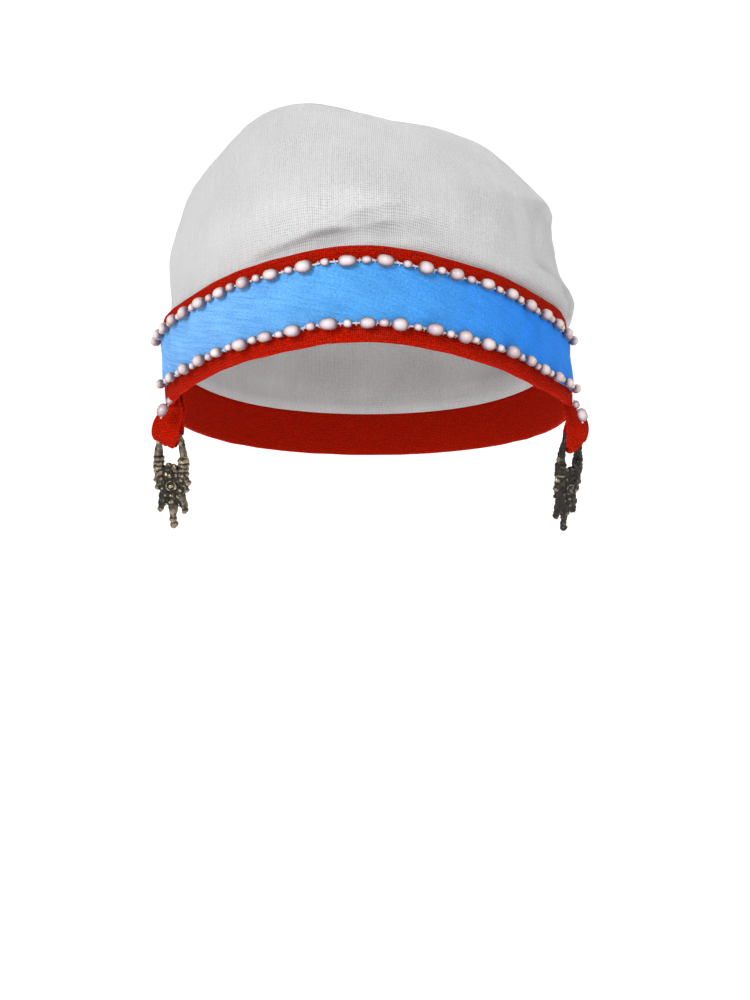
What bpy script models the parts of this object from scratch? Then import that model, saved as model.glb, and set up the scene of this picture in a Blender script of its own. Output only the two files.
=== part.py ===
"""A worn headdress: a slack gauze cap held by a linen headband.

A ribbon runs along the middle of the band between two rows of threaded pearls, and a cloth loop
below each end of the ribbon carries a cast temple ring.

The frame is +Z up as worn, with the wearer's face towards -Y and the origin at the middle of the
band's girth line. The girth lies in a plane that slopes down to the back, and everything on the
band is placed by three numbers: its bearing round the head from the front, its place across the
band's width, and its height above the band's outer face. Sizes are in millimetres and become
metres where a mesh is made.
"""

import math

import bpy
import numpy as np

MM = 0.001
GAP = 0.3

# Slope of the girth plane, lean of the band's width from upright, and its lean to the side.
GIRTH_SLOPE = 31.3
BAND_LEAN = 14.7
BAND_SIDE_LEAN = -4.0

# The band from above: radius of the girth and its rise over the girth plane, then the edges of the
# band and of the ribbon, measured across the band from the girth line.
GIRTH_COLUMNS = ("bearing", "radius", "rise", "top", "bottom", "ribbon_top", "ribbon_bottom")
GIRTH_ROWS = (
    (-180.0, 94.0, 0.0, 15.0, -15.5, 9.4, -9.4),
    (-145.0, 92.4, 0.0, 15.0, -15.5, 9.4, -9.4),
    (-110.0, 83.6, 0.0, 15.4, -15.5, 9.4, -9.4),
    (-80.0, 76.8, -0.1, 15.8, -15.4, 9.4, -9.4),
    (-52.0, 76.2, -1.7, 15.2, -13.9, 9.4, -9.4),
    (-25.0, 82.0, -0.6, 14.7, -13.8, 9.4, -9.4),
    (0.0, 87.8, 0.9, 14.5, -14.1, 9.4, -9.4),
    (25.0, 82.0, -0.6, 15.2, -14.6, 9.4, -9.6),
    (52.0, 76.4, -1.7, 16.4, -15.4, 9.2, -10.6),
    (80.0, 77.6, -0.1, 17.2, -15.9, 9.0, -11.0),
    (110.0, 84.0, 0.0, 16.2, -15.9, 9.2, -10.6),
    (145.0, 92.4, 0.0, 15.3, -15.5, 9.4, -9.4),
)

BAND_WALL = 2.0
BAND_SEGMENTS = 48

RIBBON_WALL = 1.0
RIBBON_END = 90.0

CAP_WALL = 1.2
CAP_INSET = 0.6
CAP_HEM = 10.0
CAP_SEGMENTS = 36
CAP_CLIMBS = (0.0, 0.035, 0.09, 0.16, 0.25, 0.36, 0.48, 0.60, 0.73, 0.87)
CROWN = (-21.0, 6.0, 98.0)

# How far the slack cloth stands out from a plain dome, by its climb from the band to the crown.
FULLNESS_COLUMNS = ("climb", "front", "right", "back", "left")
FULLNESS_ROWS = (
    (0.00, 0.0, 0.0, 0.0, -0.3),
    (0.035, 0.3, 2.2, 3.0, -0.9),
    (0.08, 1.0, 5.0, 7.5, -1.4),
    (0.16, 1.6, 2.6, 12.0, -0.2),
    (0.24, 2.0, 3.8, 15.0, 0.5),
    (0.32, 2.2, 7.5, 15.5, 0.0),
    (0.42, 2.2, 10.5, 15.0, 0.0),
    (0.55, 1.8, 9.4, 12.0, -2.0),
    (0.65, 1.3, 7.8, 9.0, -2.0),
    (0.75, 0.8, 2.2, 5.5, -0.8),
    (0.87, 0.3, -4.0, 2.5, -0.3),
    (1.00, 0.0, 0.0, 0.0, 0.0),
)

# Main folds, each a soft valley or ridge between two points on the cap.
FOLD_COLUMNS = ("bearing_a", "climb_a", "bearing_b", "climb_b", "width", "height")
FOLD_ROWS = (
    (-34.0, 0.02, -4.0, 0.20, 8.0, -2.6),
    (-4.0, 0.20, 34.0, 0.08, 9.0, -2.2),
    (-20.0, 0.26, 40.0, 0.26, 10.0, 1.6),
    (62.0, 0.30, 112.0, 0.24, 6.0, -1.6),
    (-60.0, 0.20, -22.0, 0.72, 9.0, -1.8),
    (150.0, 0.04, 165.0, 0.42, 8.0, -4.0),
    (180.0, 0.03, 178.0, 0.36, 7.0, -3.6),
    (-150.0, 0.04, -163.0, 0.42, 8.0, -4.0),
    (-122.0, 0.05, -134.0, 0.34, 8.0, -3.0),
    (122.0, 0.05, 134.0, 0.34, 8.0, -3.0),
)
CAP_GIRTH_RADIUS = 80.0
CAP_CLIMB_LENGTH = 120.0

LARGE_PEARL_LENGTH = 5.2
LARGE_PEARL_RADIUS = 1.85
SMALL_PEARL_LENGTH = 3.1
SMALL_PEARL_RADIUS = 1.2
THREAD_RADIUS = 0.35
PEARL_SIDES = 10
THREAD_SIDES = 5
PEARL_ROW_END = 83.0

# The two threaded rows: the ribbon edge that each follows, how far it lies inside the edge, and
# the number of large pearls.
PEARL_ROW_COLUMNS = ("row", "edge", "inset", "pairs")
PEARL_ROWS = (
    ("upper", "ribbon_top", -0.3, 20),
    ("lower", "ribbon_bottom", 0.3, 21),
)

# The pair of pearls above each loop: height of its start over the band and lean away from it.
LOOP_PEARL_HEIGHT = -0.25
LOOP_PEARL_LEAN = 35.0

# Temple rings: pivot in the loop, turn about the upright and lean in the ring's own plane.
RING_COLUMNS = ("side", "pivot_x", "pivot_y", "pivot_z", "turn", "lean")
RING_ROWS = (
    ("left", -76.4, -13.0, -21.5, -8.0, 3.0),
    ("right", 80.4, -12.0, -23.4, 38.0, 0.0),
)

# Loops: bearing of the seam, half width of the tape, and where the two pearls above it start.
LOOP_PLACE_COLUMNS = ("seam_bearing", "half_width", "pearl_bearing", "pearl_rise")
LOOP_PLACE_ROWS = (
    (-80.0, 5.6, -75.0, 2.6),
    (80.0, 4.4, 78.0, 1.6),
)

WIRE_RADIUS = 1.3
BAIL_HALF_WIDTH = 5.0
BAIL_HEIGHT = 12.5
BAIL_FOOT = -8.5
COLLAR_RADIUS = 1.95
COLLAR_GROOVE = 1.5
COLLAR_PITCH = 1.85
COLLAR_RIDGES = 3
PLATE_DEPTH = 2.2

# One half of the cast plate's outline, from the middle of its top edge to its lowest point.
PLATE_HALF_OUTLINE = (
    (0.0, -12.9), (3.0, -13.3), (5.6, -13.2), (5.8, -17.4),
    (4.6, -20.6), (5.2, -23.8), (3.4, -27.2), (0.0, -28.4),
)

# Rays of the casting: where each starts and ends, its fullest radius and its end ball.
RAY_COLUMNS = ("start_w", "start_z", "end_w", "end_z", "radius", "ball")
RAY_ROWS = (
    (4.2, -14.6, 6.9, -19.6, 1.75, 1.2),
    (3.2, -20.6, 5.0, -31.2, 1.75, 1.25),
    (0.0, -22.0, 0.0, -35.3, 1.95, 1.3),
)
LOWEST_BALL_Z = -37.8
LOWEST_BALL_RADIUS = 1.4
BOSS_Z = -20.2
BOSS_RADIUS = 2.5
BOSS_RISE = 1.1
GRANULE_W = 1.5
GRANULE_Z = -12.7
GRANULE_RADIUS = 1.35

# The cloth loop, from its seam inside the band down to the bundle that the bail hangs on: drop
# below the seam as a share, share of the tape's width, its thickness, half the gap inside, and
# how much of the way to the pivot and of the turn to the ring's face is done.
LOOP_COLUMNS = ("share", "width_share", "wall", "half_gap", "way", "turned")
LOOP_ROWS = (
    (0.00, 0.55, 1.5, 0.20, 0.00, 0.00),
    (0.38, 0.58, 1.5, 0.20, 0.00, 0.06),
    (0.50, 0.72, 1.6, 0.60, 0.50, 0.50),
    (0.64, 0.92, 1.8, 2.10, 0.92, 0.85),
    (0.80, 1.00, 1.8, 3.30, 1.08, 1.00),
    (1.00, 0.76, 1.7, 3.30, 1.00, 1.00),
)
INNER_WIDTH_SHARE = 0.7
LOOP_SEAM_RISE = 5.5
LOOP_INSET = 0.6
LOOP_STATIONS = (0.0, 0.38, 0.48, 0.62, 0.77, 0.90)
BUNDLE_HALF_WIDTH = 2.4
BUNDLE_HALF_HEIGHT = 2.3
BUNDLE_DROP = 1.8
LOOP_SECTION_SIDES = 8
CAST_SIDES = 6
COLLAR_SIDES = 8


def column(columns, rows, name):
    """Read one named column of a table as an array."""
    return np.array([row[columns.index(name)] for row in rows], dtype=float)


def smooth(at, knots, values):
    """Read a column between its rows: a cubic through them with slopes from their neighbours."""
    knots = np.asarray(knots, dtype=float)
    values = np.asarray(values, dtype=float)
    slopes = np.gradient(values, knots)
    cell = np.clip(np.searchsorted(knots, at, side="right") - 1, 0, len(knots) - 2)
    width = knots[cell + 1] - knots[cell]
    t = (at - knots[cell]) / width
    start = (2 * t**3 - 3 * t**2 + 1) * values[cell] + (t**3 - 2 * t**2 + t) * width * slopes[cell]
    end = (3 * t**2 - 2 * t**3) * values[cell + 1] + (t**3 - t**2) * width * slopes[cell + 1]
    return start + end


def girth(name, bearing):
    """Read a column of the girth table at any bearing, carried round past its ends."""
    knots = column(GIRTH_COLUMNS, GIRTH_ROWS, "bearing")
    values = column(GIRTH_COLUMNS, GIRTH_ROWS, name)
    knots = np.concatenate([knots - 360.0, knots, knots + 360.0])
    values = np.tile(values, 3)
    turned = (np.asarray(bearing, dtype=float) + 180.0) % 360.0 - 180.0
    return smooth(turned, knots, values)


def unit(vectors):
    """Scale each row of an array of vectors to length one."""
    return vectors / np.linalg.norm(vectors, axis=-1, keepdims=True)


def girth_line(bearing):
    """Give points of the girth line: a radius in the plan, laid on the sloping plane."""
    angle = np.radians(bearing)
    radius = girth("radius", bearing)
    slope = math.radians(GIRTH_SLOPE)
    ahead = radius * np.cos(angle)
    points = [radius * np.sin(angle), -ahead * math.cos(slope), ahead * math.sin(slope)]
    points[2] = points[2] + girth("rise", bearing)
    return np.stack(points, axis=-1)


def band_width_axis():
    """Give the direction across the band, from its lower to its upper edge."""
    lean = math.radians(BAND_LEAN)
    side = math.tan(math.radians(BAND_SIDE_LEAN))
    return unit(np.array([side, math.sin(lean), math.cos(lean)]))


def band_frame(bearing):
    """Give the direction along the girth and the outward normal of the band's face."""
    step = 0.5
    along = unit(girth_line(bearing + step) - girth_line(bearing - step))
    outward = unit(np.cross(along, band_width_axis()))
    return along, outward


def on_band(bearing, across, height):
    """Place points by bearing, by distance across the band and by height over its outer face."""
    bearing, across, height = np.broadcast_arrays(bearing, across, height)
    bearing = bearing.astype(float)
    outward = band_frame(bearing)[1]
    across = across[..., None].astype(float)
    return girth_line(bearing) + across * band_width_axis() + height[..., None] * outward


def ring_faces(rows, sides, closed=False):
    """Join rows of points, each a closed ring, into quads whose normals point outwards."""
    row = np.arange(rows if closed else rows - 1)[:, None]
    side = np.arange(sides)[None, :]
    after = (row + 1) % rows
    beside = (side + 1) % sides
    quads = np.stack([row * sides + side, row * sides + beside,
                      after * sides + beside, after * sides + side], axis=-1)
    return quads.reshape(-1, 4).tolist()


def make_material(name, color, roughness, metallic):
    """Make a material with one Principled shader."""
    material = bpy.data.materials.new(name)
    material.use_nodes = True
    shader = material.node_tree.nodes["Principled BSDF"]
    shader.inputs["Base Color"].default_value = (*color, 1.0)
    shader.inputs["Roughness"].default_value = roughness
    shader.inputs["Metallic"].default_value = metallic
    material.diffuse_color = (*color, 1.0)
    return material


def make_piece(name, points, faces, material, smooth_angle=None):
    """Make an object from points in millimetres and give it its material."""
    mesh = bpy.data.meshes.new(name)
    mesh.from_pydata((np.asarray(points) * MM).tolist(), [], faces)
    mesh.materials.append(material)
    if smooth_angle is not None:
        mesh.shade_smooth()
        mesh.set_sharp_from_angle(angle=math.radians(smooth_angle))
    piece = bpy.data.objects.new(name, mesh)
    bpy.context.scene.collection.objects.link(piece)
    return piece


def make_headband(material):
    """Close a flat band of cloth round the girth, four corners to a section."""
    bearing = np.linspace(-180.0, 180.0, BAND_SEGMENTS, endpoint=False)
    top = girth("top", bearing)
    bottom = girth("bottom", bearing)
    corners = [on_band(bearing, top, 0.0), on_band(bearing, bottom, 0.0),
               on_band(bearing, bottom, -BAND_WALL), on_band(bearing, top, -BAND_WALL)]
    points = np.stack(corners, axis=1).reshape(-1, 3)
    faces = ring_faces(BAND_SEGMENTS, len(corners), closed=True)
    return make_piece("headband", points, faces, material, 50.0)


def make_ribbon(material):
    """Lay the ribbon on the band's outer face, with its two ends closed."""
    step = 360.0 / BAND_SEGMENTS
    bearing = np.arange(-RIBBON_END, RIBBON_END + 0.5 * step, step)
    face = GAP + RIBBON_WALL
    top = girth("ribbon_top", bearing)
    bottom = girth("ribbon_bottom", bearing)
    corners = [on_band(bearing, top, face), on_band(bearing, bottom, face),
               on_band(bearing, bottom, GAP), on_band(bearing, top, GAP)]
    points = np.stack(corners, axis=1).reshape(-1, 3)
    sides = len(corners)
    faces = ring_faces(len(bearing), sides)
    last = len(points) - sides
    faces.append([3, 2, 1, 0])
    faces.append([last, last + 1, last + 2, last + 3])
    return make_piece("ribbon", points, faces, material, 50.0)


def fold_height(bearing, climb):
    """Add up the main folds: a bell across each fold's line, fading at its ends."""
    total = np.zeros_like(bearing)
    for row in FOLD_ROWS:
        bearing_a, climb_a, bearing_b, climb_b, width, height = row
        turn = (bearing - bearing_a + 180.0) % 360.0 - 180.0
        x = np.radians(turn) * CAP_GIRTH_RADIUS
        y = (climb - climb_a) * CAP_CLIMB_LENGTH
        run_x = math.radians((bearing_b - bearing_a + 180.0) % 360.0 - 180.0) * CAP_GIRTH_RADIUS
        run_y = (climb_b - climb_a) * CAP_CLIMB_LENGTH
        length = math.hypot(run_x, run_y)
        share = np.clip((x * run_x + y * run_y) / length**2, 0.0, 1.0)
        distance = np.hypot(x - share * run_x, y - share * run_y)
        total = total + height * np.exp(-(distance / width) ** 2)
    return total * np.sin(np.clip(climb, 0.0, 1.0) * math.pi) ** 0.5


def cap_surface(bearing, climb):
    """Give the cap's outer face.

    Each meridian is a quarter of an ellipse that leaves the band's upper edge upright and meets
    the crown level. The fullness table and the main folds push it out or in, level with the floor.
    """
    base = on_band(bearing, girth("top", bearing), -BAND_WALL - CAP_INSET)
    crown = np.array(CROWN)
    angle = climb * math.pi / 2.0
    reach = base - crown
    level = np.stack([reach[..., 0], reach[..., 1], np.zeros_like(climb)], axis=-1)
    points = crown + level * np.cos(angle)[..., None]
    points[..., 2] = base[..., 2] - reach[..., 2] * np.sin(angle)
    knots = column(FULLNESS_COLUMNS, FULLNESS_ROWS, "climb")
    full = {name: smooth(climb, knots, column(FULLNESS_COLUMNS, FULLNESS_ROWS, name))
            for name in FULLNESS_COLUMNS[1:]}
    ahead = np.cos(np.radians(bearing))
    aside = np.sin(np.radians(bearing))
    amount = np.where(ahead > 0.0, full["front"], full["back"]) * ahead**2
    amount = amount + np.where(aside > 0.0, full["right"], full["left"]) * aside**2
    return points + unit(level) * (amount + fold_height(bearing, climb))[..., None]


def cap_grid():
    """Give the cap's outer face as rows of rings, from its hem inside the band to the crown."""
    bearing = np.linspace(-180.0, 180.0, CAP_SEGMENTS, endpoint=False)
    top = girth("top", bearing)
    rows = [on_band(bearing, top - CAP_HEM, -BAND_WALL - CAP_INSET)]
    for climb in CAP_CLIMBS:
        rows.append(cap_surface(bearing, np.full_like(bearing, climb)))
    return np.stack(rows)


def grid_normals(grid):
    """Give outward normals of a grid that is closed along its rows."""
    along = np.roll(grid, -1, axis=1) - np.roll(grid, 1, axis=1)
    up = np.gradient(grid, axis=0)
    return unit(np.cross(along, up))


def make_cap(material):
    """Make the cap as a wall: an outer and an inner face that meet at the open hem."""
    outer = cap_grid()
    normals = grid_normals(outer)
    normals[0] = band_frame(np.linspace(-180.0, 180.0, CAP_SEGMENTS, endpoint=False))[1]
    normals[1] = unit(normals[0] + normals[1])
    inner = outer - CAP_WALL * normals
    rows, sides = outer.shape[:2]
    count = rows * sides
    crown = np.array(CROWN)
    points = np.concatenate([outer.reshape(-1, 3), inner.reshape(-1, 3),
                             [crown, crown - [0.0, 0.0, CAP_WALL]]])
    faces = ring_faces(rows, sides)
    faces += [[count + corner for corner in reversed(face)] for face in ring_faces(rows, sides)]
    for side in range(sides):
        beside = (side + 1) % sides
        last = count - sides
        faces.append([last + side, last + beside, 2 * count])
        faces.append([count + last + beside, count + last + side, 2 * count + 1])
        faces.append([beside, side, count + side, count + beside])
    return make_piece("cap", points, faces, material, 70.0)


def bridge(first, first_sides, second, second_sides):
    """Join two rings of a string of beads, also where one has twice the sides of the other."""
    faces = []
    if first_sides == second_sides:
        for side in range(first_sides):
            beside = (side + 1) % first_sides
            faces.append([first + side, first + beside, second + beside, second + side])
        return faces
    few, many = (first, second) if first_sides < second_sides else (second, first)
    sides = min(first_sides, second_sides)
    for side in range(sides):
        near, far = few + side, few + (side + 1) % sides
        a, b, c = (many + (2 * side + step) % (2 * sides) for step in range(3))
        fan = [[near, b, a], [near, far, b], [far, c, b]]
        if few == first:
            faces += fan
        else:
            faces += [list(reversed(face)) for face in fan]
    return faces


def bead_profile(length, radius):
    """Give a rice pearl's stations: distances from its middle, radii and sides."""
    half = 0.5 * length
    if length > 4.0:
        places = (-half, -0.62 * half, 0.0, 0.62 * half, half)
        radii = (THREAD_RADIUS, 0.80 * radius, radius, 0.80 * radius, THREAD_RADIUS)
    else:
        places = (-half, -0.40 * half, 0.40 * half, half)
        radii = (THREAD_RADIUS, radius, radius, THREAD_RADIUS)
    sides = (THREAD_SIDES,) + (PEARL_SIDES,) * (len(places) - 2) + (THREAD_SIDES,)
    return places, radii, sides


def make_bead_string(name, place, beads, material):
    """Thread rice pearls on a thin line, all one closed body.

    place(distance, height) gives the middle and the two section axes of the string at a distance
    along it. beads lists each pearl's distance, length and radius.
    """
    points = []
    starts = []
    counts = []
    for middle, length, radius in beads:
        for offset, ring_radius, sides in zip(*bead_profile(length, radius)):
            centre, outward, aside = place(middle + offset, radius)
            angle = np.arange(sides) * (2.0 * math.pi / sides)
            starts.append(sum(counts))
            counts.append(sides)
            rim = np.cos(angle)[:, None] * outward + np.sin(angle)[:, None] * aside
            points.append(centre + ring_radius * rim)
    faces = []
    for number in range(len(starts) - 1):
        faces += bridge(starts[number], counts[number], starts[number + 1], counts[number + 1])
    faces.append(list(range(counts[0] - 1, -1, -1)))
    faces.append(list(range(starts[-1], starts[-1] + counts[-1])))
    return make_piece(name, np.concatenate(points), faces, material, 60.0)


def make_pearl_row(name, edge, inset, pairs, material):
    """Lay one row along an edge of the ribbon, large and small pearls by turns."""
    face = GAP + RIBBON_WALL + GAP
    bearing = np.linspace(-PEARL_ROW_END, PEARL_ROW_END, 2001)
    line = on_band(bearing, girth(edge, bearing) + inset, face + LARGE_PEARL_RADIUS)
    run = np.concatenate([[0.0], np.cumsum(np.linalg.norm(np.diff(line, axis=0), axis=1))])
    pitch = (run[-1] - SMALL_PEARL_LENGTH) / pairs

    def place(distance, radius):
        at = np.interp(distance, run, bearing)
        along, outward = band_frame(at)
        centre = on_band(at, girth(edge, at) + inset, face + radius)
        return centre, outward, np.cross(along, outward)

    beads = []
    start = 0.5 * SMALL_PEARL_LENGTH
    for number in range(pairs):
        beads.append((start + number * pitch, SMALL_PEARL_LENGTH, SMALL_PEARL_RADIUS))
        beads.append((start + (number + 0.5) * pitch, LARGE_PEARL_LENGTH, LARGE_PEARL_RADIUS))
    beads.append((start + pairs * pitch, SMALL_PEARL_LENGTH, SMALL_PEARL_RADIUS))
    return make_bead_string(name, place, beads, material)


def make_loop_pearls(name, bearing, rise, material):
    """Hang a small and a large pearl over the band's lower edge, leaning out above the loop."""
    bottom = float(girth("bottom", bearing))
    start = on_band(bearing, bottom + rise, LOOP_PEARL_HEIGHT)
    along, outward = band_frame(bearing)
    lean = math.radians(LOOP_PEARL_LEAN)
    run = math.sin(lean) * outward - math.cos(lean) * band_width_axis()
    face = math.cos(lean) * outward + math.sin(lean) * band_width_axis()

    def place(distance, radius):
        return start + distance * run + radius * face, face, np.cross(run, face)

    small = 0.5 * SMALL_PEARL_LENGTH
    large = SMALL_PEARL_LENGTH + GAP + 0.5 * LARGE_PEARL_LENGTH
    beads = [(small, SMALL_PEARL_LENGTH, SMALL_PEARL_RADIUS),
             (large, LARGE_PEARL_LENGTH, LARGE_PEARL_RADIUS)]
    return make_bead_string(name, place, beads, material)


def loop_read(name, share):
    """Read a column of the loop table at a share of its drop."""
    knots = column(LOOP_COLUMNS, LOOP_ROWS, "share")
    return smooth(np.clip(share, 0.0, 1.0), knots, column(LOOP_COLUMNS, LOOP_ROWS, name))


def make_loop(name, pivot, turn, seam_bearing, tape_half_width, material):
    """Make a loop of tape that twists from the band's face to the temple ring's.

    Its middle line goes down the outer strand, through the bundle in the bail and up the inner
    strand. The strands turn about the upright with the drop, and the middle of the pair moves
    from the seam to the pivot.
    """
    bottom = float(girth("bottom", seam_bearing))
    wall = LOOP_ROWS[0][LOOP_COLUMNS.index("wall")]
    half_gap = LOOP_ROWS[0][LOOP_COLUMNS.index("half_gap")]
    inset = BAND_WALL + LOOP_INSET + wall + half_gap
    seam = on_band(seam_bearing, bottom + LOOP_SEAM_RISE, -inset)
    along, outward = band_frame(seam_bearing)
    seam_turn = math.atan2(outward[1], outward[0])
    face_turn = math.radians(turn - 90.0)
    twist = (face_turn - seam_turn + math.pi) % (2.0 * math.pi) - math.pi
    foot = pivot + np.array([0.0, 0.0, -BUNDLE_DROP])
    stations = [("top", 0.0)]
    stations += [("outer", share) for share in LOOP_STATIONS]
    stations += [("bundle", part) for part in (1.0, 0.5, 0.0, -0.5, -1.0)]
    stations += [("inner", share) for share in reversed(LOOP_STATIONS)]
    points = []
    for kind, value in stations:
        share = value if kind in ("outer", "inner") else (0.0 if kind == "top" else 1.0)
        way = float(loop_read("way", share))
        angle = seam_turn + twist * float(loop_read("turned", share))
        normal = np.array([math.cos(angle), math.sin(angle), 0.0])
        width_axis = np.array([-math.sin(angle), math.cos(angle), 0.0])
        middle = seam + (foot - seam) * np.array([way, way, share])
        half_width = tape_half_width * float(loop_read("width_share", share))
        if kind == "inner" or (kind == "bundle" and value < 0.0):
            half_width = half_width * INNER_WIDTH_SHARE
        half_wall = 0.5 * float(loop_read("wall", share))
        gap = float(loop_read("half_gap", share))
        if kind == "top":
            centre = middle + np.array([0.0, 0.0, half_wall + 0.4])
            thick_axis = np.array([0.0, 0.0, 1.0])
        elif kind == "bundle":
            lean = 0.5 * math.pi * value
            centre = middle + normal * (gap + half_wall) * math.sin(lean) * 0.98
            centre = centre + np.array([0.0, 0.0, 1.6 * (1.0 - math.cos(lean))])
            pinch = abs(value) ** 3
            half_width = BUNDLE_HALF_WIDTH + (half_width - BUNDLE_HALF_WIDTH) * pinch
            half_wall = BUNDLE_HALF_HEIGHT + (half_wall - BUNDLE_HALF_HEIGHT) * abs(value)
            thick_axis = normal * math.sin(lean) - np.array([0.0, 0.0, math.cos(lean)])
        else:
            side = 1.0 if kind == "outer" else -1.0
            centre = middle + normal * side * (gap + half_wall)
            thick_axis = normal * side
        around = np.arange(LOOP_SECTION_SIDES) * (2.0 * math.pi / LOOP_SECTION_SIDES)
        wide = half_width * np.sign(np.cos(around)) * np.abs(np.cos(around)) ** 0.6
        thick = half_wall * np.sign(np.sin(around)) * np.abs(np.sin(around)) ** 0.8
        points.append(centre + wide[:, None] * width_axis + thick[:, None] * thick_axis)
    faces = ring_faces(len(points), LOOP_SECTION_SIDES, closed=True)
    return make_piece(name, np.concatenate(points), faces, material, 60.0)


def turned_body(profile, sides, start, end):
    """Turn a profile of (distance, radius) pairs about the line from start to end."""
    start = np.asarray(start, dtype=float)
    axis = unit(np.asarray(end, dtype=float) - start)
    aside = unit(np.cross(axis, [0.0, 1.0, 0.0]))
    front = np.cross(axis, aside)
    around = np.arange(sides) * (2.0 * math.pi / sides)
    rim = np.cos(around)[:, None] * aside + np.sin(around)[:, None] * front
    points = np.concatenate([start + distance * axis + radius * rim
                             for distance, radius in profile])
    faces = ring_faces(len(profile), sides)
    last = len(points) - sides
    faces.append(list(range(sides - 1, -1, -1)))
    faces.append(list(range(last, last + sides)))
    return points, faces


def bail_body():
    """Sweep the bail's wire along half an ellipse whose feet stand in the collars."""
    sides = CAST_SIDES
    segments = 10
    angle = np.linspace(0.0, math.pi, segments + 1)
    centre = np.stack([BAIL_HALF_WIDTH * np.cos(angle), np.zeros_like(angle),
                       BAIL_FOOT + BAIL_HEIGHT * np.sin(angle)], axis=-1)
    foot = np.array([0.0, 0.0, -1.0])
    centre = np.concatenate([[centre[0] + foot], centre, [centre[-1] + foot]])
    along = unit(np.gradient(centre, axis=0))
    front = np.array([0.0, -1.0, 0.0])
    aside = np.cross(along, front)
    around = np.arange(sides) * (2.0 * math.pi / sides)
    rim = np.cos(around)[None, :, None] * front + np.sin(around)[None, :, None] * aside[:, None, :]
    points = (centre[:, None, :] + WIRE_RADIUS * rim).reshape(-1, 3)
    faces = [list(reversed(face)) for face in ring_faces(len(centre), sides)]
    last = len(points) - sides
    faces.append(list(range(sides)))
    faces.append(list(range(last + sides - 1, last - 1, -1)))
    return points, faces


def collar_body(side):
    """Turn one ribbed collar at the foot of the bail."""
    profile = [(0.0, COLLAR_GROOVE)]
    for ridge in range(COLLAR_RIDGES):
        profile.append(((ridge + 0.5) * COLLAR_PITCH, COLLAR_RADIUS))
        profile.append(((ridge + 1.0) * COLLAR_PITCH, COLLAR_GROOVE))
    start = (side * BAIL_HALF_WIDTH, 0.0, BAIL_FOOT)
    end = (side * BAIL_HALF_WIDTH, 0.0, BAIL_FOOT - 1.0)
    return turned_body(profile, COLLAR_SIDES, start, end)


def plate_body():
    """Extrude the plate's outline, mirrored to both sides, to the casting's depth."""
    right = list(PLATE_HALF_OUTLINE)
    left = [(-w, z) for w, z in reversed(PLATE_HALF_OUTLINE[1:-1])]
    outline = right + left
    half = 0.5 * PLATE_DEPTH
    points = [(w, -half, z) for w, z in outline] + [(w, half, z) for w, z in outline]
    count = len(outline)
    faces = [list(range(count - 1, -1, -1)), list(range(count, 2 * count))]
    for corner in range(count):
        beside = (corner + 1) % count
        faces.append([corner, beside, count + beside, count + corner])
    return np.array(points, dtype=float), faces


def ray_body(side, start_w, start_z, end_w, end_z, radius, ball):
    """Turn one drop-shaped ray with a ball at its end."""
    length = math.hypot(end_w - start_w, end_z - start_z)
    neck = length - 0.9 * ball
    profile = [(0.0, 0.6 * radius), (0.35 * neck, radius), (0.8 * neck, 0.9 * radius),
               (neck, 0.7 * ball), (length - 0.1 * ball, ball), (length + ball, 0.4 * ball)]
    start = (side * start_w, 0.0, start_z)
    return turned_body(profile, CAST_SIDES, start, (side * end_w, 0.0, end_z))


def ball_body(w, y, z, radius):
    """Turn a small ball about its upright."""
    profile = [(0.05 * radius, 0.35 * radius), (0.6 * radius, 0.95 * radius),
               (1.4 * radius, 0.95 * radius), (1.95 * radius, 0.35 * radius)]
    return turned_body(profile, CAST_SIDES, (w, y, z + radius), (w, y, z))


def boss_body():
    """Turn the round boss on the plate's front."""
    profile = [(0.0, BOSS_RADIUS), (0.5 * PLATE_DEPTH + 0.7 * BOSS_RISE, BOSS_RADIUS),
               (0.5 * PLATE_DEPTH + 0.7 * BOSS_RISE, 0.72 * BOSS_RADIUS),
               (0.5 * PLATE_DEPTH + 0.35 * BOSS_RISE, 0.6 * BOSS_RADIUS),
               (0.5 * PLATE_DEPTH + BOSS_RISE, 0.3 * BOSS_RADIUS)]
    start = np.array([0.0, 0.0, BOSS_Z])
    around = np.arange(8) * (2.0 * math.pi / 8)
    rim = np.stack([np.cos(around), np.zeros(8), np.sin(around)], axis=-1)
    points = np.concatenate([start + np.array([0.0, -distance, 0.0]) + radius * rim
                             for distance, radius in profile])
    faces = ring_faces(len(profile), 8)
    last = len(points) - 8
    faces.append(list(range(7, -1, -1)))
    faces.append(list(range(last, last + 8)))
    return points, faces


def ring_parts():
    """List the bodies that are cast together as one temple ring."""
    parts = [bail_body(), plate_body(), boss_body()]
    for side in (-1.0, 1.0):
        parts.append(collar_body(side))
        parts.append(ball_body(side * GRANULE_W, 0.0, GRANULE_Z, GRANULE_RADIUS))
    for row in RAY_ROWS:
        mirrored = (-1.0, 1.0) if row[RAY_COLUMNS.index("end_w")] > 0.0 else (1.0,)
        for side in mirrored:
            parts.append(ray_body(side, *row))
    parts.append(ball_body(0.0, 0.0, LOWEST_BALL_Z, LOWEST_BALL_RADIUS))
    return parts


def cast_ring_mesh(material):
    """Unite the ring's parts into one closed mesh with its origin on the swing's axis."""
    pieces = [make_piece("casting", points, faces, material) for points, faces in ring_parts()]
    body = pieces[0]
    for tool in pieces[1:]:
        union = body.modifiers.new("union", "BOOLEAN")
        union.operation = "UNION"
        union.solver = "EXACT"
        union.object = tool
    graph = bpy.context.evaluated_depsgraph_get()
    mesh = bpy.data.meshes.new_from_object(body.evaluated_get(graph))
    mesh.name = "temple_ring"
    for piece in pieces:
        bpy.data.objects.remove(piece)
    mesh.shade_smooth()
    mesh.set_sharp_from_angle(angle=math.radians(40.0))
    return mesh


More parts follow.
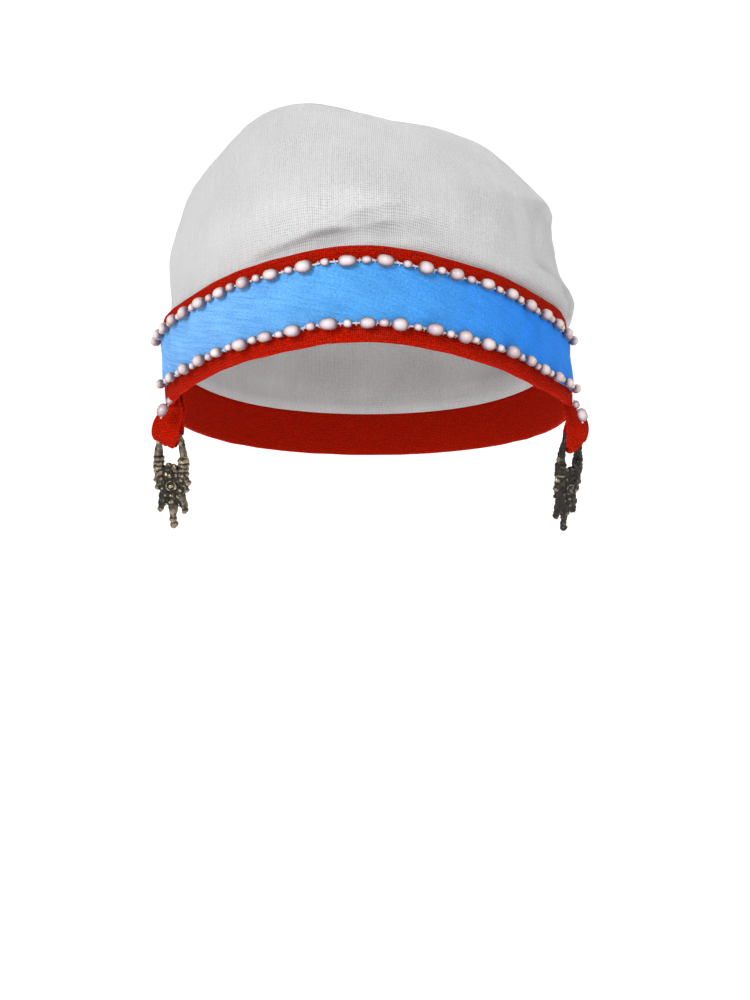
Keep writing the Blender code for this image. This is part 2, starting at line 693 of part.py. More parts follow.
def make_temple_ring(name, mesh, pivot, turn, lean):
    """Hang one casting with its origin at its pivot, turned about the upright and leant."""
    ring = bpy.data.objects.new(name, mesh)
    bpy.context.scene.collection.objects.link(ring)
    ring.location = (pivot * MM).tolist()
    ring.rotation_euler = (0.0, math.radians(lean), math.radians(turn))
    return ring


def build():
    """Make every piece of the headdress."""
    for leftover in list(bpy.data.objects):
        bpy.data.objects.remove(leftover)
    gauze = make_material("cap_gauze", (0.80, 0.80, 0.80), 0.95, 0.0)
    linen = make_material("red_linen", (0.62, 0.02, 0.01), 0.9, 0.0)
    suede = make_material("blue_ribbon", (0.10, 0.34, 0.85), 0.8, 0.0)
    pearl = make_material("pearl", (0.85, 0.80, 0.80), 0.25, 0.0)
    bronze = make_material("aged_bronze", (0.30, 0.23, 0.13), 0.4, 1.0)
    make_cap(gauze)
    make_headband(linen)
    make_ribbon(suede)
    for row, edge, inset, pairs in PEARL_ROWS:
        make_pearl_row("pearl_row_" + row, edge, inset, pairs, pearl)
    casting = cast_ring_mesh(bronze)
    for ring, loop in zip(RING_ROWS, LOOP_PLACE_ROWS):
        side, pivot_x, pivot_y, pivot_z, turn, lean = ring
        seam_bearing, half_width, pearl_bearing, pearl_rise = loop
        pivot = np.array([pivot_x, pivot_y, pivot_z])
        make_loop("loop_" + side, pivot, turn, seam_bearing, half_width, linen)
        make_loop_pearls("loop_pearls_" + side, pearl_bearing, pearl_rise, pearl)
        make_temple_ring("temple_ring_" + side, casting, pivot, turn, lean)


build()
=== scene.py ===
"""The looks of a worn headdress, laid out as an add-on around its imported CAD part.

A slack gauze cap is held by a red linen band. A blue ribbon lies along the band between two rows of
threaded rice pearls, and a cloth loop below each end of the ribbon carries a cast bronze ring.

The frame is +Z up as worn, with the front towards -Y and the origin at the middle of the band's
girth line. Places on the band are given by a bearing round the head from the front, a distance
across the band and a height over the band's outer face. Lengths in the tables are millimetres and
angles are degrees. Points become metres where a mesh is made.
"""

import math

import bpy
import numpy as np
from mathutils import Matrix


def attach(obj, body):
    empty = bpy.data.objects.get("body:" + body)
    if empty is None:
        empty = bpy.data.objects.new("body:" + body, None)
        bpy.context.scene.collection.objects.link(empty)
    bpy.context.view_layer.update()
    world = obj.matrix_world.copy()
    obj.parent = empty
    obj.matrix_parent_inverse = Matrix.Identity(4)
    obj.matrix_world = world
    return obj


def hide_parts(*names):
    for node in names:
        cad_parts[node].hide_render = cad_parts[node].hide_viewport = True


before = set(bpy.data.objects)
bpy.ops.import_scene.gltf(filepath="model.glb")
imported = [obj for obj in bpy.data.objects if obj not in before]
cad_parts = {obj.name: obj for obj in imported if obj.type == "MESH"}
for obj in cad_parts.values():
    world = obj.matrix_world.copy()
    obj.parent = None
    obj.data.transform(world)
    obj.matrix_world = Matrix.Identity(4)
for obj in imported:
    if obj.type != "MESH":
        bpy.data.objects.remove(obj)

bl_info = {
    "name": "Pearl Headdress",
    "version": (1, 0, 0),
    "blender": (4, 5, 0),
    "location": "View3D > Sidebar > Headdress",
    "description": "Builds the cloth, pearls and cast rings of a headdress around its CAD part",
    "category": "Object",
}


def table(names, *rows):
    """Turn rows of numbers into named columns."""
    return dict(zip(names.split(), np.array(rows, dtype=float).T))


def unit(vectors):
    """Scale each row of an array of vectors to length one."""
    return vectors / np.linalg.norm(vectors, axis=-1, keepdims=True)


MM = 0.001

# The band from above, as the CAD part has it.
GIRTH_SLOPE = math.radians(31.3)
BAND_LEAN = math.radians(14.7)
BAND_SIDE_LEAN = math.radians(-4.0)
BAND_UP = unit(np.array([math.tan(BAND_SIDE_LEAN), math.sin(BAND_LEAN), math.cos(BAND_LEAN)]))
GIRTH = table(
    "bearing radius rise top bottom ribbon_top ribbon_bottom",
    (-180, 94, 0, 15, -15.5, 9.4, -9.4), (-145, 92.4, 0, 15, -15.5, 9.4, -9.4),
    (-110, 83.6, 0, 15.4, -15.5, 9.4, -9.4), (-80, 76.8, -0.1, 15.8, -15.4, 9.5, -9),
    (-52, 76.2, -1.7, 15.2, -13.9, 9.6, -8.6), (-25, 82, -0.6, 14.7, -13.8, 9.7, -8.4),
    (0, 87.8, 0.9, 14.5, -14.1, 9.8, -8.3), (25, 82, -0.6, 15.2, -14.6, 9.7, -8.7),
    (52, 76.4, -1.7, 16.4, -15.4, 9.2, -9.9), (80, 77.6, -0.1, 17.2, -15.9, 8, -11),
    (110, 84, 0, 16.2, -15.9, 9.2, -10.6), (145, 92.4, 0, 15.3, -15.5, 9.4, -9.4),
)
MEAN_GIRTH_RADIUS = 80.0
BAND_WALL = 2.0
EDGE_WAVES = 8
FACE_WAVES = 12
RIBBON_FACE = 1.3
RIBBON_BACK = 0.1
RIBBON_END = 78.5
RIBBON_END_SLANT = 0.33
BILLOW = 1.4
BILLOW_BEARINGS = (48.0, 75.0, 88.0, 118.0)
BILLOW_TOP = 3.0
BILLOW_BREADTH = 11.0

# The slack cap: a plain dome and the fullness of its cloth on four sides.
CAP_INSET = 0.5
CAP_CLOTH = 0.7
CAP_HEM = 10.0
CAP_COLUMNS = 320
CAP_ROWS = 104
CAP_CLIMB_LENGTH = 120.0
LAST_RING = 0.985
CAP_SLACK_START = 9.0
CAP_SLACK_END = 6.0
CAP_RIPPLE_SINK = 0.4
# Waves over a shape: amount, what each of the two directions takes from the depth, shortest and
# longest wave, their number and their seed.
CAP_RIPPLES = ((0.18, 0.5, -0.6, 14.0, 40.0, 26, 3), (0.05, 0.5, -0.6, 5.0, 11.0, 20, 4))
RING_WEAR = ((0.17, 1.7, -1.0, 2.2, 5.0, 14, 0), (0.07, -1.0, 1.4, 0.9, 1.8, 14, 1))
CROWN = np.array([-21.0, 6.0, 98.0])
FULLNESS = table(
    "climb front right back left",
    (0, 0, 0, 0, -0.3), (0.035, 0.3, 4.7, 3, -0.9), (0.06, 0.7, 5.4, 5.6, -1.3),
    (0.08, 1, 5.6, 7.5, -1.4), (0.12, 1.4, 2.5, 10.1, -0.9), (0.16, 1.6, 1.6, 12, -0.2),
    (0.20, 1.8, 1.9, 13.8, 0.3), (0.24, 2, 3.2, 15, 0.5), (0.28, 2.1, 4.7, 15.5, 0.3),
    (0.32, 2.2, 6.3, 15.5, 0), (0.36, 2.2, 9, 15.5, 0), (0.42, 2.2, 8.2, 15, 0),
    (0.48, 2.1, 7.9, 13.9, -0.9), (0.55, 1.8, 8.9, 12, -2), (0.65, 1.3, 8.6, 9, -2),
    (0.70, 1, 5.6, 7.2, -1.4), (0.75, 0.8, -2.2, 5.5, -0.8), (0.80, 0.6, -6.6, 4.1, -0.5),
    (0.87, 0.3, -6.2, 2.5, -0.3), (1, 0, 0, 0, 0),
)

# Folds run between two points of the cap, each a bearing and a climb. Then come the width, the
# height of a soft ridge or valley along the line, and a lip, which is a step that stands out on the
# line's upper side and sinks in on its lower side.
FOLDS = (
    (-34, 0.02, -4, 0.20, 8, -2, 0), (-4, 0.20, 34, 0.08, 9, -1.4, 0),
    (-20, 0.26, 40, 0.26, 10, 1.6, 0), (62, 0.30, 112, 0.24, 6, -1.1, 0),
    (-60, 0.20, -22, 0.72, 9, -1.8, 0), (150, 0.04, 165, 0.42, 8, -4, 0),
    (180, 0.03, 178, 0.36, 7, -3.6, 0), (-150, 0.04, -163, 0.42, 8, -4, 0),
    (-122, 0.05, -134, 0.34, 8, -3, 0), (122, 0.05, 134, 0.34, 8, -3, 0),
)
CREASES = (
    (-22, 0.015, -6, 0.055, 5.4, -5, 6.4), (-6, 0.055, 5, 0.095, 5.2, -2.4, 3.6),
    (5, 0.095, 14, 0.14, 5, -1.3, 2), (-9, 0.09, 1, 0.15, 4.4, -1.6, 1.9),
    (1, 0.15, 9, 0.19, 4.6, -1.1, 1.3), (58, 0.13, 84, 0.09, 2.6, -0.9, 1.8),
    (70, 0.085, 86, 0.035, 2.8, -3.2, 4.6), (66, 0.35, 84, 0.33, 3, -0.5, 0.8),
)
# Crease depth at which the gauze gets its full painted shade.
CREASE_DEPTH = 2.6

# Middles of the large pearls along each row, from the front, with the viewer's right positive.
UPPER_PEARLS = (
    -116.5, -107.0, -97.0, -86.5, -76.2, -64.1, -52.1, -40.9, -29.6, -17.8, -4.0, 7.4, 20.4, 31.5,
    44.1, 56.3, 67.3, 79.4, 90.5, 102.0, 113.0,
)
LOWER_PEARLS = (
    -107.5, -93.9, -80.0, -68.0, -56.9, -44.5, -34.0, -23.5, -11.3, 0.8, 10.6, 22.3, 33.4,
    43.2, 55.2, 66.6, 76.7, 88.0, 99.0, 109.0,
)
PEARL_ROWS = (
    ("upper", "ribbon_top", 0.0, UPPER_PEARLS, 31),
    ("lower", "ribbon_bottom", 0.1, LOWER_PEARLS, 41),
)
PEARL_ROW_END = 83.0
PEARL_LENGTHS = np.array([5.2, 3.1])
PEARL_RADII = np.array([1.85, 1.2])
PEARL_SINK = 0.82
PEARL_RINGS = 17
PEARL_SIDES = 18
# Direction, added to each pearl's outward, of the fixed light that the pearls' painted highlight
# and painted shade are drawn for.
PEARL_LIGHT = np.array([-0.15, -0.55, 0.35])
THREAD_RADIUS = 0.28
THREAD_SAG = 0.75
THREAD_END = 0.6
THREAD_STATIONS = 700
STITCH_RADIUS = 0.16
STITCH_FOOT = 0.3
STITCH_LIFT = 0.1
STITCH_GAP = 0.5
LOOP_PEARL_HEIGHT = -0.25

# Each ring's pivot, its turn about the upright, its lean, its polish and the seed of its wear.
RINGS = {
    "left": ((-76.4, -13.0, -21.5), -8.0, 3.0, -0.03, 4),
    "right": ((80.4, -12.0, -23.4), 38.0, 0.0, -0.30, 5),
}
# Each loop's seam bearing, half width, shift of its strands to the side, the inner strand's share
# of the width, lead, tilt of its bundle and the seed of its creases.
LOOP_PLACES = {
    "left": (-80.0, 5.6, 0.0, 0.85, 0.0, 1.0, 51),
    "right": (80.0, 6.0, -1.5, 0.45, 1.0, -0.9, 53),
}
# Each pair of loop pearls: its bearing, rise over the band's lower edge, lean, shift and seed.
LOOP_PEARL_PLACES = {
    "left": (-75.0, 2.6, 35.0, (0.9, -0.6, -1.3), 61),
    "right": (78.0, 1.6, 19.0, (1.6, -0.6, 0.0), 62),
}

# The cloth loop, as the CAD part has it: drop below its seam as a share, its width and thickness,
# half the gap inside, how far it has come to the pivot and turned to the ring's face, and how much
# further out it may swell above the ring.
LOOP = table(
    "share width_share wall half_gap way turned lead",
    (0, 0.55, 1.4, 0.2, 0.1, 0, 0), (0.28, 0.78, 1.5, 0.4, 0.3, 0.45, 0.32),
    (0.42, 0.95, 1.6, 1.2, 0.62, 0.85, 0.32), (0.62, 1, 1.8, 2.45, 0.96, 1, 0.1),
    (0.80, 1.02, 1.8, 2.9, 1.04, 1, 0), (1, 0.8, 1.7, 2.6, 1, 1, 0),
)
LOOP_STATIONS = (0.0, 0.20, 0.36, 0.52, 0.68, 0.82, 0.92)
LOOP_SEAM_RISE = 5.5
LOOP_INSET = 0.6
INNER_ASIDE = -1.3
BUNDLE_HALF_WIDTH = 2.4
BUNDLE_HALF_HEIGHT = 2.3
BUNDLE_DROP = 1.8
BUNDLE_RISE = 1.6
LOOP_RINGS = 145
LOOP_SIDES = 28
LOOP_CREASES = (1.6, 4.0, 6)
LOOP_RIPPLES = (5.0, 14.0, 8)
FLAT_HALF_WALL = 0.8
MOST_GATHER = 1.5

# The casting, in its own plane: width from its middle and height from the pivot.
WIRE_RADIUS = 1.25
BAIL_HALF_WIDTH = 5.0
BAIL_HEIGHT = 12.5
BAIL_FOOT = -8.5
BAIL_FOOT_SWELL = 1.28
BAIL_FOOT_HEIGHT = 7.0
COLLAR_RIDGE = 2.2
COLLAR_GROOVE = 1.8
COLLAR_PITCH = 1.85
COLLAR_RIDGES = 3
# Lobes: width and height where each starts and ends, and its radius at start, middle and end.
LOBES = (
    (3.2, -13.4, 6.1, -18.2, 1.4, 1.85, 1.3), (0.6, -13.6, 5.4, -14.4, 1.5, 1.5, 1.5),
    (2.0, -17.6, 5.9, -21.6, 1.3, 1.6, 1.2), (2.2, -19.8, 4.95, -30.4, 1.5, 1.8, 1.15),
    (1.1, -21.5, 2.6, -27.6, 1.3, 1.4, 0.9), (0.0, -21.0, 0.0, -35.0, 1.4, 1.95, 1.1),
)
PLATE_HALF_OUTLINE = (
    (0.0, -13.0), (3.0, -13.2), (5.4, -14.0), (6.0, -17.0), (5.2, -20.4),
    (4.9, -24.0), (3.3, -27.2), (1.4, -28.0), (0.0, -28.6),
)
PLATE_HALF_DEPTH = 1.15
# Granules: width, depth, height and radius.
GRANULES = (
    (1.45, 0.0, -12.7, 1.35), (6.6, 0.0, -18.9, 1.2), (6.2, -0.3, -15.0, 1.15),
    (6.0, -0.2, -22.0, 1.15), (4.2, -1.1, -17.4, 0.95), (3.7, -1.3, -21.6, 0.9),
    (2.7, -1.3, -24.6, 0.8), (5.05, 0.0, -31.2, 1.3), (2.8, -0.2, -28.6, 0.9),
    (0.0, 0.0, -35.5, 1.35), (0.0, 0.0, -37.9, 1.45), (0.0, -1.3, -15.6, 1.0),
    (0.0, -1.6, -24.4, 0.9), (0.0, -1.7, -27.0, 1.0), (2.0, -1.2, -15.4, 0.75),
)
# The boss: its front and back, and its radius by shares of its depth, with a rim and a button.
BOSS_Z = -20.2
BOSS_DEPTHS = (1.3, -2.5)
BOSS_RADIUS = 2.2
BOSS_PROFILE = np.array([
    (0, 0.9), (0.55, 1), (0.8, 1), (0.88, 0.92), (0.88, 0.78), (0.72, 0.66), (0.74, 0.5),
    (0.94, 0.4), (1, 0.15),
])
SOFTEN_SHARE = 0.5
SOFTEN_STEPS = 3
STANDING_HEIGHT = 0.16
STANDING_STEPS = 10
LATHE_STATIONS = 11
GRANULE_SIDES = 16
GRANULE_TIP = 0.12

CAMERA_LENS = 33.48
CAMERA_PLACE = (0.0035, -0.3546, 0.1036)
CAMERA_TILT = math.radians(66.0)
LIGHT_TARGET = (0.0, 0.0, 0.03)
# Each light's name, place, breadth and the setting that holds its power.
LIGHTS = (
    ("key_light", (-0.42, -0.80, 0.60), 0.35, "key_power"),
    ("fill_light", (0.75, -0.45, 0.25), 0.7, "fill_power"),
    ("rim_light", (0.1, 0.7, 0.8), 0.6, "rim_power"),
)


def smooth(at, knots, values):
    """Read values between knots: a cubic through them with slopes from their neighbours."""
    slopes = np.gradient(values, knots, axis=0)
    cell = np.clip(np.searchsorted(knots, at, side="right") - 1, 0, len(knots) - 2)
    width = knots[cell + 1] - knots[cell]
    t = (at - knots[cell]) / width
    if values.ndim > 1:
        t = t[..., None]
        width = width[..., None]
    start = (2 * t**3 - 3 * t**2 + 1) * values[cell] + (t**3 - 2 * t**2 + t) * width * slopes[cell]
    end = (3 * t**2 - 2 * t**3) * values[cell + 1] + (t**3 - t**2) * width * slopes[cell + 1]
    return start + end


def girth(name, bearing):
    """Read a column of the girth table at any bearing, carried round past its ends."""
    knots = np.concatenate([GIRTH["bearing"] + turn for turn in (-360.0, 0.0, 360.0)])
    turned = (np.asarray(bearing, dtype=float) + 180.0) % 360.0 - 180.0
    return smooth(turned, knots, np.tile(GIRTH[name], 3))


def girth_line(bearing):
    """Give points of the girth line: a radius in the plan, laid on the sloping plane."""
    angle = np.radians(bearing)
    radius = girth("radius", bearing)
    ahead = radius * np.cos(angle)
    height = ahead * math.sin(GIRTH_SLOPE) + girth("rise", bearing)
    return np.stack([radius * np.sin(angle), -ahead * math.cos(GIRTH_SLOPE), height], axis=-1)


def band_frame(bearing):
    """Give the direction along the girth and the outward normal of the band's face."""
    step = 0.5
    along = unit(girth_line(bearing + step) - girth_line(bearing - step))
    return along, unit(np.cross(along, BAND_UP))


def on_band(bearing, across, height):
    """Place points by bearing, by distance across the band and by height over its outer face."""
    bearing, across, height = np.broadcast_arrays(np.asarray(bearing, float), across, height)
    outward = band_frame(bearing)[1]
    return girth_line(bearing) + across[..., None] * BAND_UP + height[..., None] * outward


def billow(bearing, across):
    """Give how far the band and the ribbon stand out by the temples, towards their lower edges."""
    aside = np.interp(np.abs(bearing), BILLOW_BEARINGS, [0.0, 1.0, 1.0, 0.0])
    return BILLOW * aside**2 * np.clip((BILLOW_TOP - across) / BILLOW_BREADTH, 0.0, 1.0)


def run_length(line):
    """Give the length along a line of points up to each point."""
    return np.concatenate([[0.0], np.cumsum(np.linalg.norm(np.diff(line, axis=0), axis=1))])


def waves(u, v, shortest, longest, count, seed):
    """Give a seeded sum of straight waves over a plane, with about unit height."""
    random = np.random.default_rng(seed)
    total = np.zeros(np.broadcast(u, v).shape)
    for length, turn, phase in zip(random.uniform(shortest, longest, count),
                                   random.uniform(0.0, math.pi, count),
                                   random.uniform(0.0, 2.0 * math.pi, count)):
        along = u * math.cos(turn) + v * math.sin(turn)
        total = total + np.sin(2.0 * math.pi * along / length + phase)
    return total / math.sqrt(0.5 * count)


def wave_sum(points, rows, seed=0):
    """Add up the waves of a table over points seen from the front, with seeds counted on."""
    x, y, z = np.moveaxis(points, -1, 0)
    return sum(amount * waves(x + share_u * y, z + share_v * y, shortest, longest, count,
                              seed + step)
               for amount, share_u, share_v, shortest, longest, count, step in rows)


def grid_quads(rows, columns, close_rows=False, close_columns=True):
    """Join a grid of points into quads.

    Gives the corner numbers of the points, and the row and column numbers of the corners counted
    on past a closed seam, which are what the seam's UV values are read by.
    """
    row = np.arange(rows if close_rows else rows - 1)[:, None]
    side = np.arange(columns if close_columns else columns - 1)[None, :]
    row, side = np.broadcast_arrays(row, side)
    corner_row = np.stack([row, row, row + 1, row + 1], axis=-1).reshape(-1, 4)
    corner_side = np.stack([side, side + 1, side + 1, side], axis=-1).reshape(-1, 4)
    return (corner_row % rows) * columns + corner_side % columns, corner_row, corner_side


def round_turn(sides):
    """Give the angles of points spread evenly round a circle."""
    return np.arange(sides) * (2.0 * math.pi / sides)


def rim_points(centre, *parts):
    """Give points round each centre: the centre moved by (distance, direction) pairs."""
    return centre[..., None, :] + sum(
        distance[..., None] * direction[..., None, :] for distance, direction in parts)


def tube_faces(rows, sides, count=1):
    """Join rings of points into tubes with closed ends, one after the other."""
    starts = (np.arange(count) * rows * sides)[:, None, None]
    ends = np.stack([np.arange(sides)[::-1], np.arange(sides) + (rows - 1) * sides])
    faces = (starts + grid_quads(rows, sides)[0]).reshape(-1, 4).tolist()
    return faces + (starts + ends).reshape(-1, sides).tolist()


def make_mesh(name, points, faces, face_uv=None, values=None):
    """Make a smooth mesh from points in millimetres, with UV in metres and named point values."""
    mesh = bpy.data.meshes.new(name)
    mesh.from_pydata((np.asarray(points) * MM).tolist(), [], faces)
    if face_uv is not None:
        layer = mesh.uv_layers.new(name="cloth")
        layer.data.foreach_set("uv", (np.asarray(face_uv) * MM).astype(np.float32).ravel())
    for key, array in (values or {}).items():
        attribute = mesh.attributes.new(key, "FLOAT", "POINT")
        attribute.data.foreach_set("value", np.asarray(array, dtype=np.float32))
    mesh.shade_smooth()
    return mesh


def add_piece(name, mesh, material, body="headdress", node=None):
    """Add a piece at the origin with its finish, hang it on its body and hide the CAD part it
    stands for.
    """
    if name in bpy.data.objects:
        bpy.data.objects.remove(bpy.data.objects[name])
    mesh.materials.append(material)
    piece = bpy.data.objects.new(name, mesh)
    bpy.context.scene.collection.objects.link(piece)
    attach(piece, body)
    if node is not None:
        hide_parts(node)
    return piece


def add_thread(name, lines, across, radius):
    """Add the threads along a batch of lines."""
    cotton = shared(thread_material, "pearls")
    add_piece(name, tube_mesh(name, lines, across, radius), cotton)


def fold_height(bearing, climb, folds):
    """Add up folds: a bell and a step across each fold's line."""
    total = np.zeros_like(bearing)
    for bearing_a, climb_a, bearing_b, climb_b, width, height, lip in folds:
        turn = (bearing - bearing_a + 180.0) % 360.0 - 180.0
        x = np.radians(turn) * MEAN_GIRTH_RADIUS
        y = (climb - climb_a) * CAP_CLIMB_LENGTH
        run_x = math.radians((bearing_b - bearing_a + 180.0) % 360.0 - 180.0) * MEAN_GIRTH_RADIUS
        run_y = (climb_b - climb_a) * CAP_CLIMB_LENGTH
        length = math.hypot(run_x, run_y)
        share = np.clip((x * run_x + y * run_y) / length**2, 0.0, 1.0)
        distance = np.hypot(x - share * run_x, y - share * run_y) / width
        above = (y * run_x - x * run_y) / (length * width) * np.sign(run_x + 1e-9)
        total = total + (height + lip * np.clip(above, -2.0, 2.0)) * np.exp(-distance**2)
    return total * np.sin(np.clip(climb, 0.0, 1.0) * math.pi) ** 0.5


def cap_surface(bearing, climb):
    """Give the cap's outer face.

    Each meridian is a quarter of an ellipse that leaves the band's upper edge upright and meets
    the crown level. The fullness table and the folds push it out or in, level with the floor.
    """
    base = on_band(bearing, girth("top", bearing), -BAND_WALL - CAP_INSET)
    angle = climb * math.pi / 2.0
    reach = base - CROWN
    level = reach * [1.0, 1.0, 0.0]
    points = CROWN + level * np.cos(angle)[..., None]
    points[..., 2] = base[..., 2] - reach[..., 2] * np.sin(angle)
    front, right, back, left = (smooth(climb, FULLNESS["climb"], FULLNESS[side])
                                for side in ("front", "right", "back", "left"))
    ahead, aside = np.cos(np.radians(bearing)), np.sin(np.radians(bearing))
    amount = np.where(ahead > 0.0, front, back) * ahead**2
    amount = amount + np.where(aside > 0.0, right, left) * aside**2
    fold = fold_height(bearing, climb, FOLDS + CREASES)
    return points + unit(level) * (amount + fold)[..., None]


def cap_mesh():
    """Make the gauze cap's outer face as one grid of rings closed at the crown.

    The rings climb from the hem inside the band to the crown. UV is the length round each ring,
    counted so that threads run upright at the front, and the length up each meridian. Small seeded
    waves stand for the slack in the cloth and fade out at the band. The value "crease" is 1 in the
    deepest creases; the gauze is given painted shade there.
    """
    climb = np.concatenate([[-1.0, -0.5], np.linspace(0.0, LAST_RING, CAP_ROWS)])
    bearing = np.linspace(-180.0, 180.0, CAP_COLUMNS, endpoint=False)
    climb, bearing = np.meshgrid(climb, bearing, indexing="ij")
    shown_climb = np.clip(climb, 0.0, 1.0)
    hem = np.clip(-climb, 0.0, 1.0)
    points = cap_surface(bearing, shown_climb) - (CAP_HEM * hem)[..., None] * BAND_UP
    rows, columns = climb.shape
    front = columns // 2
    around = np.linalg.norm(np.roll(points, -1, axis=1) - points, axis=-1)
    u = np.cumsum(np.concatenate([np.zeros((rows, 1)), around], axis=1), axis=1)
    u = u - u[:, front:front + 1] + points[:, front:front + 1, 0]
    rise = np.linalg.norm(np.diff(points, axis=0), axis=-1)
    v = np.cumsum(np.concatenate([np.zeros((1, columns)), rise]), axis=0)
    v = np.concatenate([v, v[:, :1]], axis=1)
    normals = unit(np.cross(np.roll(points, -1, axis=1) - np.roll(points, 1, axis=1),
                            np.gradient(points, axis=0)))
    slack = np.clip(climb * CAP_SLACK_START, 0.0, 1.0)
    slack = slack * np.clip((1.0 - climb) * CAP_SLACK_END, 0.0, 1.0)
    ripple = wave_sum(points, CAP_RIPPLES) - CAP_RIPPLE_SINK
    points = points + normals * (slack * ripple)[..., None]
    quads, corner_row, corner_side = grid_quads(rows, columns)
    side = np.arange(columns)
    crown_number = np.full(columns, rows * columns)
    top = np.stack([side, (side + 1) % columns, crown_number], axis=-1)
    top[:, :2] += (rows - 1) * columns
    cloth = np.stack([u, v], axis=-1)
    ring = cloth[-1]
    top_uv = np.stack([ring[:-1], ring[1:], 0.5 * (ring[:-1] + ring[1:])], axis=1)
    face_uv = np.concatenate([cloth[corner_row, corner_side].reshape(-1, 2),
                              top_uv.reshape(-1, 2)])
    # Painted shade: how deep each point lies in a crease, for darker gauze there.
    crease = np.clip(-fold_height(bearing, shown_climb, CREASES) / CREASE_DEPTH, 0.0, 1.0)
    return make_mesh("gauze_cap", np.concatenate([points.reshape(-1, 3), [CROWN]]),
                     quads.tolist() + top.tolist(), face_uv,
                     {"crease": np.append(crease.ravel(), 0.0)})


def strip_section(face_points=13, edge_points=5):
    """Give a flat strip's rounded section: its share across, its share of the wall, in turn.

    Across runs from -1 at the lower to 1 at the upper edge. Depth is 1 on the outer face and 0 on
    the inner. Both edges are half rounds.
    """
    across = np.linspace(1.0, -1.0, face_points)
    flat = np.zeros(face_points)
    angle = np.linspace(0.0, math.pi, edge_points + 2)[1:-1]
    edge = np.ones(edge_points)
    share = np.concatenate([across, -edge, -across, edge])
    round_out = np.concatenate([flat, -np.sin(angle), flat, np.sin(angle)])
    depth = np.concatenate([flat + 1.0, 0.5 + 0.5 * np.cos(angle), flat,
                            0.5 - 0.5 * np.cos(angle)])
    return share, round_out, depth


def strip_mesh(name, bearing, edges, faces, closed, uneven, slant=0.0):
    """Sweep a rounded flat section along the girth.

    edges are the girth columns of the upper and lower edge, and faces the heights of the outer and
    inner face. uneven holds the amount, shortest and longest wave and seed for the two edges and
    for the outer face. slant carries the upper edge on past the lower edge at both ends. UV is the
    length along the girth and the distance across.
    """
    share, round_out, depth = strip_section()
    turned = np.radians(bearing) * MEAN_GIRTH_RADIUS
    top, bottom = (
        girth(edge, bearing) + amount * waves(turned, 0.0, shortest, longest, EDGE_WAVES, seed)
        for edge, (amount, shortest, longest, seed) in zip(edges, uneven))
    outer, inner = faces
    radius = 0.5 * (outer - inner)
    middle = 0.5 * (top + bottom)[:, None]
    across = middle + (0.5 * (top - bottom)[:, None] - radius) * share + radius * round_out
    run = run_length(girth_line(bearing))
    run = run - np.interp(0.0, bearing, run)
    amount, shortest, longest, seed = uneven[2]
    ripple = waves(run[:, None], across, shortest, longest, FACE_WAVES, seed)
    relief = billow(bearing[:, None], across) + np.reshape(amount, (-1, 1)) * ripple
    height = inner + (outer - inner) * depth + depth * relief
    ahead = (bearing / bearing[-1]) ** 5
    points = on_band(bearing[:, None] + slant * across * ahead[:, None], across, height)
    rows, columns = across.shape
    if closed:
        points = points[:-1]
        rows = rows - 1
    quads, corner_row, corner_side = grid_quads(rows, columns, closed)
    round_path = np.concatenate([across, across[:, :1]], axis=1)
    face_uv = np.stack([run[corner_row], round_path[corner_row, corner_side]], axis=-1)
    face_uv = face_uv.reshape(-1, 2)
    corners = quads.tolist()
    if not closed:
        last = (rows - 1) * columns
        corners += [list(range(columns - 1, -1, -1)), list(range(last, last + columns))]
        ends = [np.stack([np.full(columns, run[0]), across[0, ::-1]], axis=-1),
                np.stack([np.full(columns, run[-1]), across[-1]], axis=-1)]
        face_uv = np.concatenate([face_uv] + ends)
    return make_mesh(name, points.reshape(-1, 3), corners, face_uv)


def linen_band_mesh():
    """Sweep the linen band all round, its two edges folded and slightly uneven."""
    bearing = np.linspace(-180.0, 180.0, 361)
    fade = np.sin(0.5 * np.radians(bearing + 180.0)) ** 0.25
    uneven = ((0.06 * fade, 9.0, 30.0, 11), (0.08 * fade, 9.0, 30.0, 12),
              (0.08 * fade, 7.0, 24.0, 13))
    return strip_mesh("linen_band", bearing, ("top", "bottom"), (0.0, -BAND_WALL), True, uneven)


def ribbon_mesh():
    """Lay the ribbon on the band's outer face, with rounded edges and closed ends."""
    bearing = np.linspace(-RIBBON_END, RIBBON_END, 241)
    uneven = ((0.08, 10.0, 30.0, 21), (0.08, 10.0, 30.0, 22), (0.05, 9.0, 30.0, 23))
    return strip_mesh("velvet_ribbon", bearing, ("ribbon_top", "ribbon_bottom"),
                      (RIBBON_FACE, RIBBON_BACK), False, uneven, RIBBON_END_SLANT)


